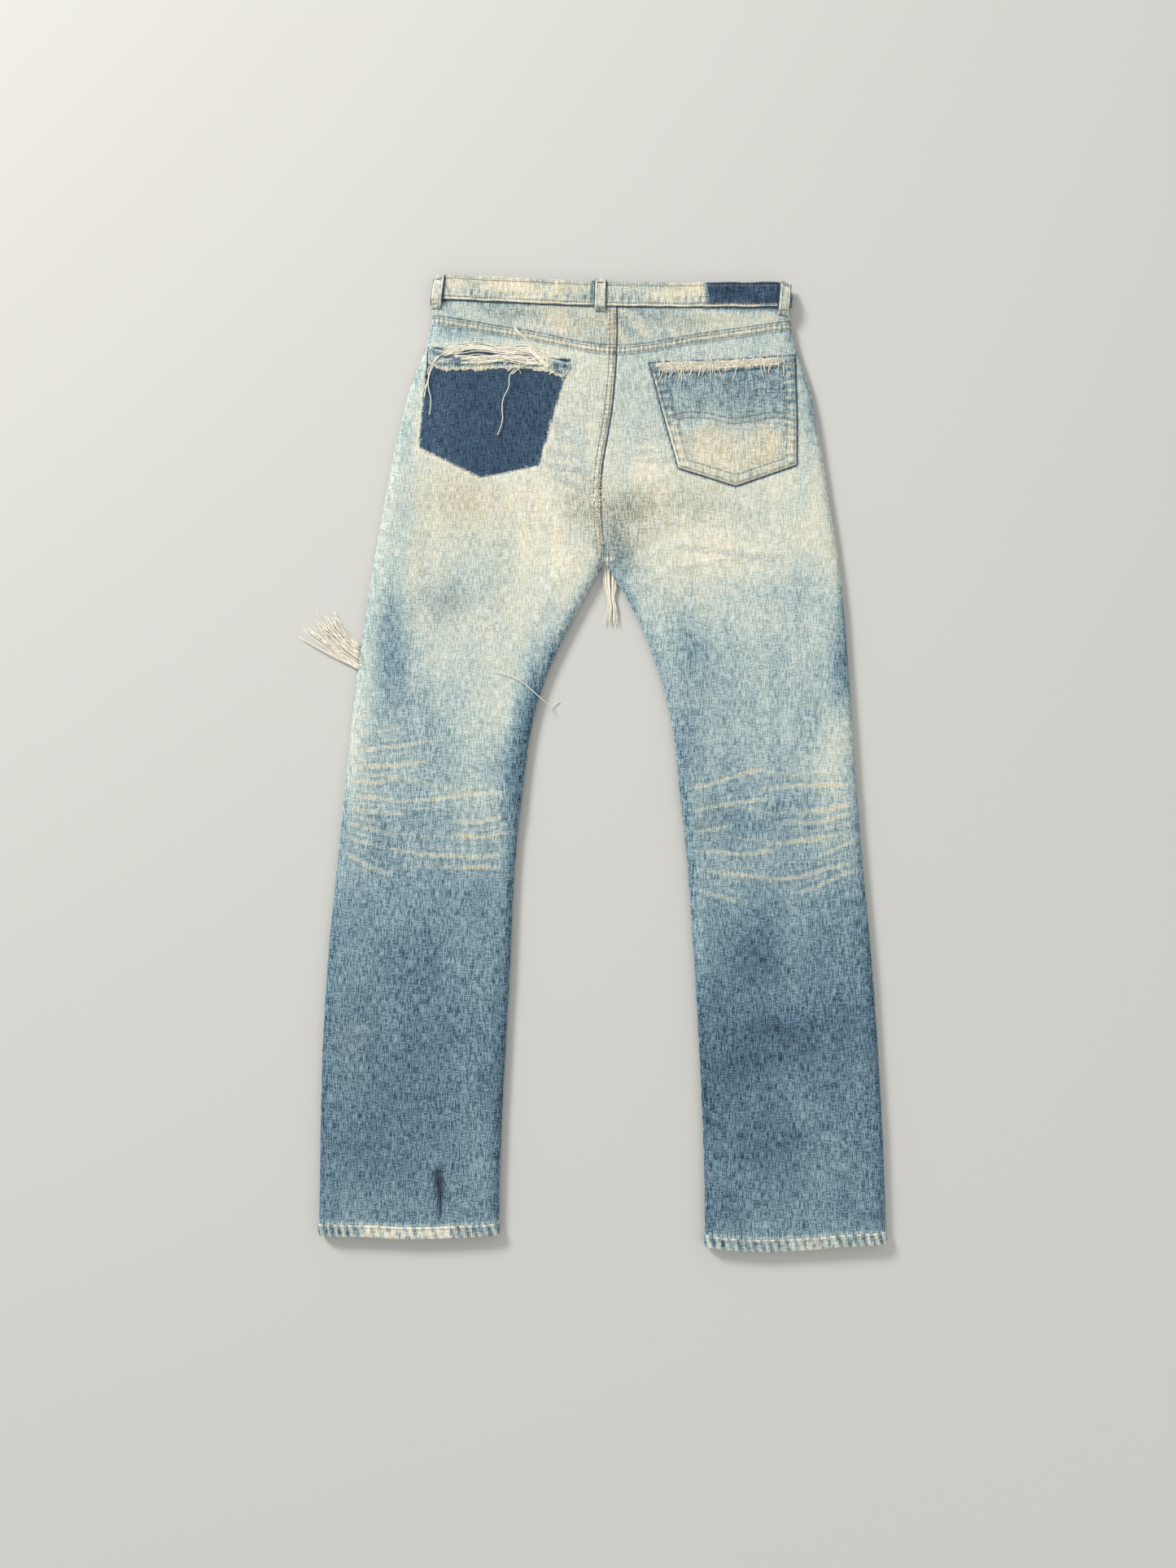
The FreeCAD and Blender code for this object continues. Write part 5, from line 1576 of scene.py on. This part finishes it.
CENTRE_THREAD = [
    (-0.092, 0.464, 0.0164), (-0.101, 0.456, 0.0164), (-0.109, 0.446, 0.0166), (-0.108, 0.433, 0.0154),
    (-0.116, 0.420, 0.0150), (-0.117, 0.405, 0.0150), (-0.115, 0.392, 0.0150), (-0.122, 0.376, 0.0150),
]
SIDE_THREAD = [
    (-0.174, 0.466, 0.0164), (-0.187, 0.466, 0.0164), (-0.197, 0.459, 0.0166), (-0.203, 0.447, 0.0156),
    (-0.204, 0.432, 0.0150), (-0.199, 0.417, 0.0150), (-0.202, 0.400, 0.0150),
]
THIGH_THREAD = [
    (-0.128, 0.099, 0.0150), (-0.112, 0.095, 0.0150), (-0.096, 0.088, 0.0150), (-0.083, 0.077, 0.0152),
    (-0.072, 0.067, 0.0164), (-0.064, 0.061, 0.011), (-0.062, 0.058, 0.004), (-0.057, 0.059, 0.0012),
    (-0.050, 0.064, 0.0009),
]
THREADS = {
    "pocket_thread_centre": (CENTRE_THREAD, 0.0973),
    "pocket_thread_side": (SIDE_THREAD, 0.0856),
    "thigh_thread": (THIGH_THREAD, 0.0983),
}


def make_threads(yarn):
    for name, (route, length) in THREADS.items():
        thread = spline_cord(f"{name}_yarn", route, "seat", yarn, name)


# ------------------------------------------------------------------ stitching

def offset_row(edge, gap, start, stop, step_length=6.0):
    """A row of stitching beside a curve of x, as a chain of points."""
    xs = np.linspace(start, stop, max(int(abs(stop - start) / step_length), 2))
    return np.column_stack([xs, edge(xs) + gap + 0.3 * mottle(xs, 0 * xs, 14, 9, 141)])


def upright_row(edge, gap, low, high, step_length=6.0, wander=0.3):
    ys = np.linspace(low, high, max(int(abs(high - low) / step_length), 2))
    return np.column_stack([edge(ys) + gap + wander * mottle(ys, 0 * ys, 14, 9, 142), ys])


def make_topstitching(brown):
    body_rows = []
    for gap in (-2.2, -7.6):
        body_rows.append(offset_row(YOKE_SEAM, gap, -198, 14))
        body_rows.append(offset_row(YOKE_SEAM, gap, 19, 222))
        body_rows.append(upright_row(SEAT_SEAM, gap, 236, 528))
    stitches("seat_topstitching", body_rows, back_z, brown, "seat", "denim")
    band_rows = []
    for start, stop in ((-188, -10), (6, 122), (126, 208)):
        band_rows.append(offset_row(BAND_TOP, -4.3, start, stop))
        band_rows.append(offset_row(BAND_LOW, 3.6, start, stop))
    stitches("band_topstitching", band_rows, lambda x, y: band_height(x, y, 0), brown, "seat", "band_denim")
    pocket_rows = []
    for gap in (2.6, 11.8):
        pocket_rows.append(upright_row(POCKET_SIDES[0], gap, 344, 459))
        pocket_rows.append(upright_row(POCKET_SIDES[1], -gap, 344, 468))
        pocket_rows.append(offset_row(POCKET_BASE, gap * 1.06, 90 + gap, 227 - gap, 4))
    pocket_rows.append(offset_row(POCKET_MOUTH, -10.0, 61, 224))
    for gap in (0.0, 6.5):
        xs = np.linspace(76 + gap / 3, 227, 60)
        pocket_rows.append(np.column_stack([xs, POCKET_BOW(xs) - gap]))
    stitches("pocket_topstitching", pocket_rows, pocket_z, brown, "seat", "pocket_denim", missing=0.06)


def make_painted_shadow_lines(indigo):
    """Thin dark tubes beside raised edges, as painted shadow in the creases there: at the pocket, under the
    band, along the seat seam and beside the belt loops.
    """
    def on_cloth(xs, ys):
        return np.column_stack([xs, ys, back_z(xs, ys) + 0.15])

    rows, left, right = np.linspace(337, 460, 60), np.linspace(-187, -10, 60), np.linspace(6, 209, 70)
    paths = [on_cloth(POCKET_SIDES[0](rows) - 0.9, rows)]
    rows = np.linspace(341, 470, 60)
    paths.append(on_cloth(POCKET_SIDES[1](rows) + 0.9, rows))
    columns = np.linspace(89.5, 228.5, 70)
    paths.append(on_cloth(columns, POCKET_BASE(columns) - 1.0))
    paths += [on_cloth(xs, BAND_LOW(xs) - 1.1) for xs in (left, right)]
    rows = np.linspace(304, 528, 110)
    paths.append(on_cloth(SEAT_SEAM(rows) + 1.2, rows))
    for top, low in BACK_LOOPS.values():
        share = np.linspace(0.1, 0.97, 24)
        for side in (-7.0, 7.0):
            xs, ys = low[0] + (top[0] - low[0]) * share + side, low[1] + (top[1] - low[1]) * share
            paths.append(np.column_stack([xs, ys, band_height(xs, ys, 0) + 0.2]))
    radii = [0.5, 0.5, 0.5, 0.6, 0.6, 0.4] + [0.45] * 6
    settle(tubes("painted_shadow_lines", paths, np.array(radii), indigo, 5), "seat", "denim")


TACK_WIDTH = 8


def make_bartacks(brown):
    """Close zigzags at the ends of the belt loops and the pocket's corners."""
    tacks = ((-191.6, 563.5), (-195.6, 533), (-1.1, 558.5), (-1.9, 529), (217.6, 556), (214.8, 525.5))
    paths = []
    for x, y in tacks:
        for index in range(15):
            place = x - TACK_WIDTH / 2 + TACK_WIDTH * index / 14
            ys = y + np.array((-1.1, 0, 1.1))
            xs = place + np.array((-0.25, 0.1, 0.3))
            paths.append(np.column_stack([xs, ys, band_height(xs, ys, 0) + np.array((2.1, 2.5, 2.1))]))
    for x, y in ((59.5, 458.5), (224.5, 467.5)):
        for index in range(12):
            ys = y - index * 0.75
            xs = x + np.array((-1.1, 0, 1.1))
            heights = pocket_z(xs, ys + 0 * xs) + np.array((0.1, 0.4, 0.1))
            paths.append(np.column_stack([xs, ys + np.array((-0.2, 0, 0.2)), heights]))
    piece = tubes("bartacks", paths, 0.28, brown, 4)
    settle(piece, "seat", "loop_denim")


def make_hem_stitching(side, pink):
    """The hem's row on the back, with the leg's cut edge above it."""
    start, stop = (-318, -121) if side == "left" else (122, 318)
    xs = np.linspace(start, stop, 34)
    wander = 0.3 * mottle(xs, 0 * xs, 14, 9, 143)
    row = np.column_stack([xs, HEM_ROW[side] - 2.2 + hem_dip(side, xs) + wander])

    def surface(x, y):
        return back_z(x, y) + 1.75
    name, body = f"hem_stitching_{side}", f"shank_{side}"
    stitches(name, [row], surface, pink, body, "hem_denim", pitch=3.6, missing=0.02)


def darn(region, count, tilt, length, spread):
    """Machine darning: close zigzags of pale thread over a worn place."""
    paths = []
    (x0, y0), (x1, y1) = region
    for _ in range(count):
        share = RNG.random()
        x, y = x0 + (x1 - x0) * share + RNG.normal(0, spread), y0 + (y1 - y0) * share + RNG.normal(0, spread)
        angle = math.radians(tilt + RNG.normal(0, 10))
        half = RNG.uniform(0.3, 0.5) * length
        t = np.linspace(-1, 1, 6)
        xs, ys = x + t * half * math.cos(angle), y + t * half * math.sin(angle)
        z = back_z(xs, ys) + 0.12 + 0.1 * np.abs(np.sin(t * 4))
        z[[0, -1]] -= 0.3
        paths.append(np.column_stack([xs, ys, z]))
    return paths


DARNED_ROWS = [
    ((-62, 392), (-36, 386)), ((-50, 372), (-18, 366)), ((-58, 356), (-22, 350)), ((-66, 342), (-12, 330)),
    ((-60, 328), (-20, 312)), ((40, 386), (66, 390)), ((38, 372), (76, 376)), ((36, 356), (78, 358)),
    ((44, 346), (80, 346)), ((86, 244), (130, 239)), ((130, 239), (210, 228)),
]


def make_darning(pale):
    paths = []
    for start, end in DARNED_ROWS:
        length = math.hypot(end[0] - start[0], end[1] - start[1])
        tilt = math.degrees(math.atan2(end[1] - start[1], end[0] - start[0])) + 82
        paths += darn((start, end), int(length * 0.75), tilt, 7, 1.2)
        paths += darn((start, end), int(length * 0.14), tilt - 82, 16, 2.4)
    piece = tubes("darning", paths, 0.16, pale, 4)
    settle(piece, "seat", "repair_cloth")


# ------------------------------------------------------------------ metal

def finish_metal(slots):
    """The CAD's buttons, tacks and rivets keep their shapes and get worn plating."""
    brass = ["waist_button_head", "waist_button_tack", "fly_button_tacks", "rivet_burrs"]
    brass += [f"fly_button_head_{number}" for number in range(1, 5)]
    for name in brass + ["rivet_caps"]:
        metal = slots["aged_copper" if name == "rivet_caps" else "aged_brass"]
        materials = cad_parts[name].data.materials
        if not materials:
            materials.append(metal)
        for index in range(len(materials)):
            materials[index] = metal


# ------------------------------------------------------------------ everything

def make_materials():
    slots = {
        "denim": cloth_material("denim"),
        "seam_allowance": cloth_material("seam_allowance", 0.9),
        "hem_denim": cloth_material("hem_denim", 1.2),
        "band_denim": cloth_material("band_denim", 1.1),
        "band_facing": cloth_material("band_facing", 0.8),
        "loop_denim": cloth_material("loop_denim", 1.2),
        "pocket_denim": cloth_material("pocket_denim", 1.0),
        "remnant_denim": cloth_material("remnant_denim", 1.3),
        "pocket_cloth": cloth_material("pocket_cloth", 0.5, False, 0.5, 0.25),
        "fly_denim": cloth_material("fly_denim"),
        "repair_cloth": cloth_material("repair_cloth", 0.8, False, 0.6, 0.3),
        "aged_brass": metal_material("aged_brass", (0.55, 0.42, 0.22), (0.16, 0.12, 0.07)),
        "aged_copper": metal_material("aged_copper", (0.62, 0.33, 0.2), (0.2, 0.1, 0.06)),
        "loose_yarn": thread_material("loose_yarn", (0.72, 0.68, 0.54), (0.88, 0.85, 0.75)),
    }
    slots["thread_brown"] = thread_material("thread_brown", (0.16, 0.14, 0.115), (0.38, 0.35, 0.29), 6)
    slots["thread_pink"] = thread_material("thread_pink", (0.30, 0.22, 0.19), (0.55, 0.45, 0.40), 6)
    slots["thread_pale"] = thread_material("thread_pale", (0.62, 0.62, 0.57), (0.8, 0.79, 0.72), 4)
    slots["yarn_indigo"] = thread_material("yarn_indigo", (0.02, 0.03, 0.05), (0.06, 0.09, 0.13), 3)
    return slots


look_from_above()
set_up_studio()
slots = make_materials()
make_threads(slots["loose_yarn"])

for side in SIDES:
    make_back_cloth(side, slots["denim"])
    make_front_cloth(side, slots["denim"])
    make_side_seams(side, slots)
    make_hem(side, slots)
    make_yoke(side, slots["denim"])
    make_hem_stitching(side, slots["thread_pink"])
make_band(slots)
for name, (top, low) in BACK_LOOPS.items():
    make_loop(name, top, low, slots)
for name, (top, low) in FRONT_LOOPS.items():
    make_loop(name, top, low, slots, over=False)
make_right_pocket(slots)
make_remnant(slots)
make_front_details(slots)
make_seat_patches(slots)
make_topstitching(slots["thread_brown"])
make_bartacks(slots["thread_brown"])
make_painted_shadow_lines(slots["yarn_indigo"])
make_slit_shadow(slots)
make_darning(slots["thread_pale"])
make_bundle(slots["loose_yarn"])
make_side_tuft(slots["loose_yarn"])
make_crotch_tuft(slots["loose_yarn"])
make_frays(slots["loose_yarn"], slots["yarn_indigo"])
finish_metal(slots)
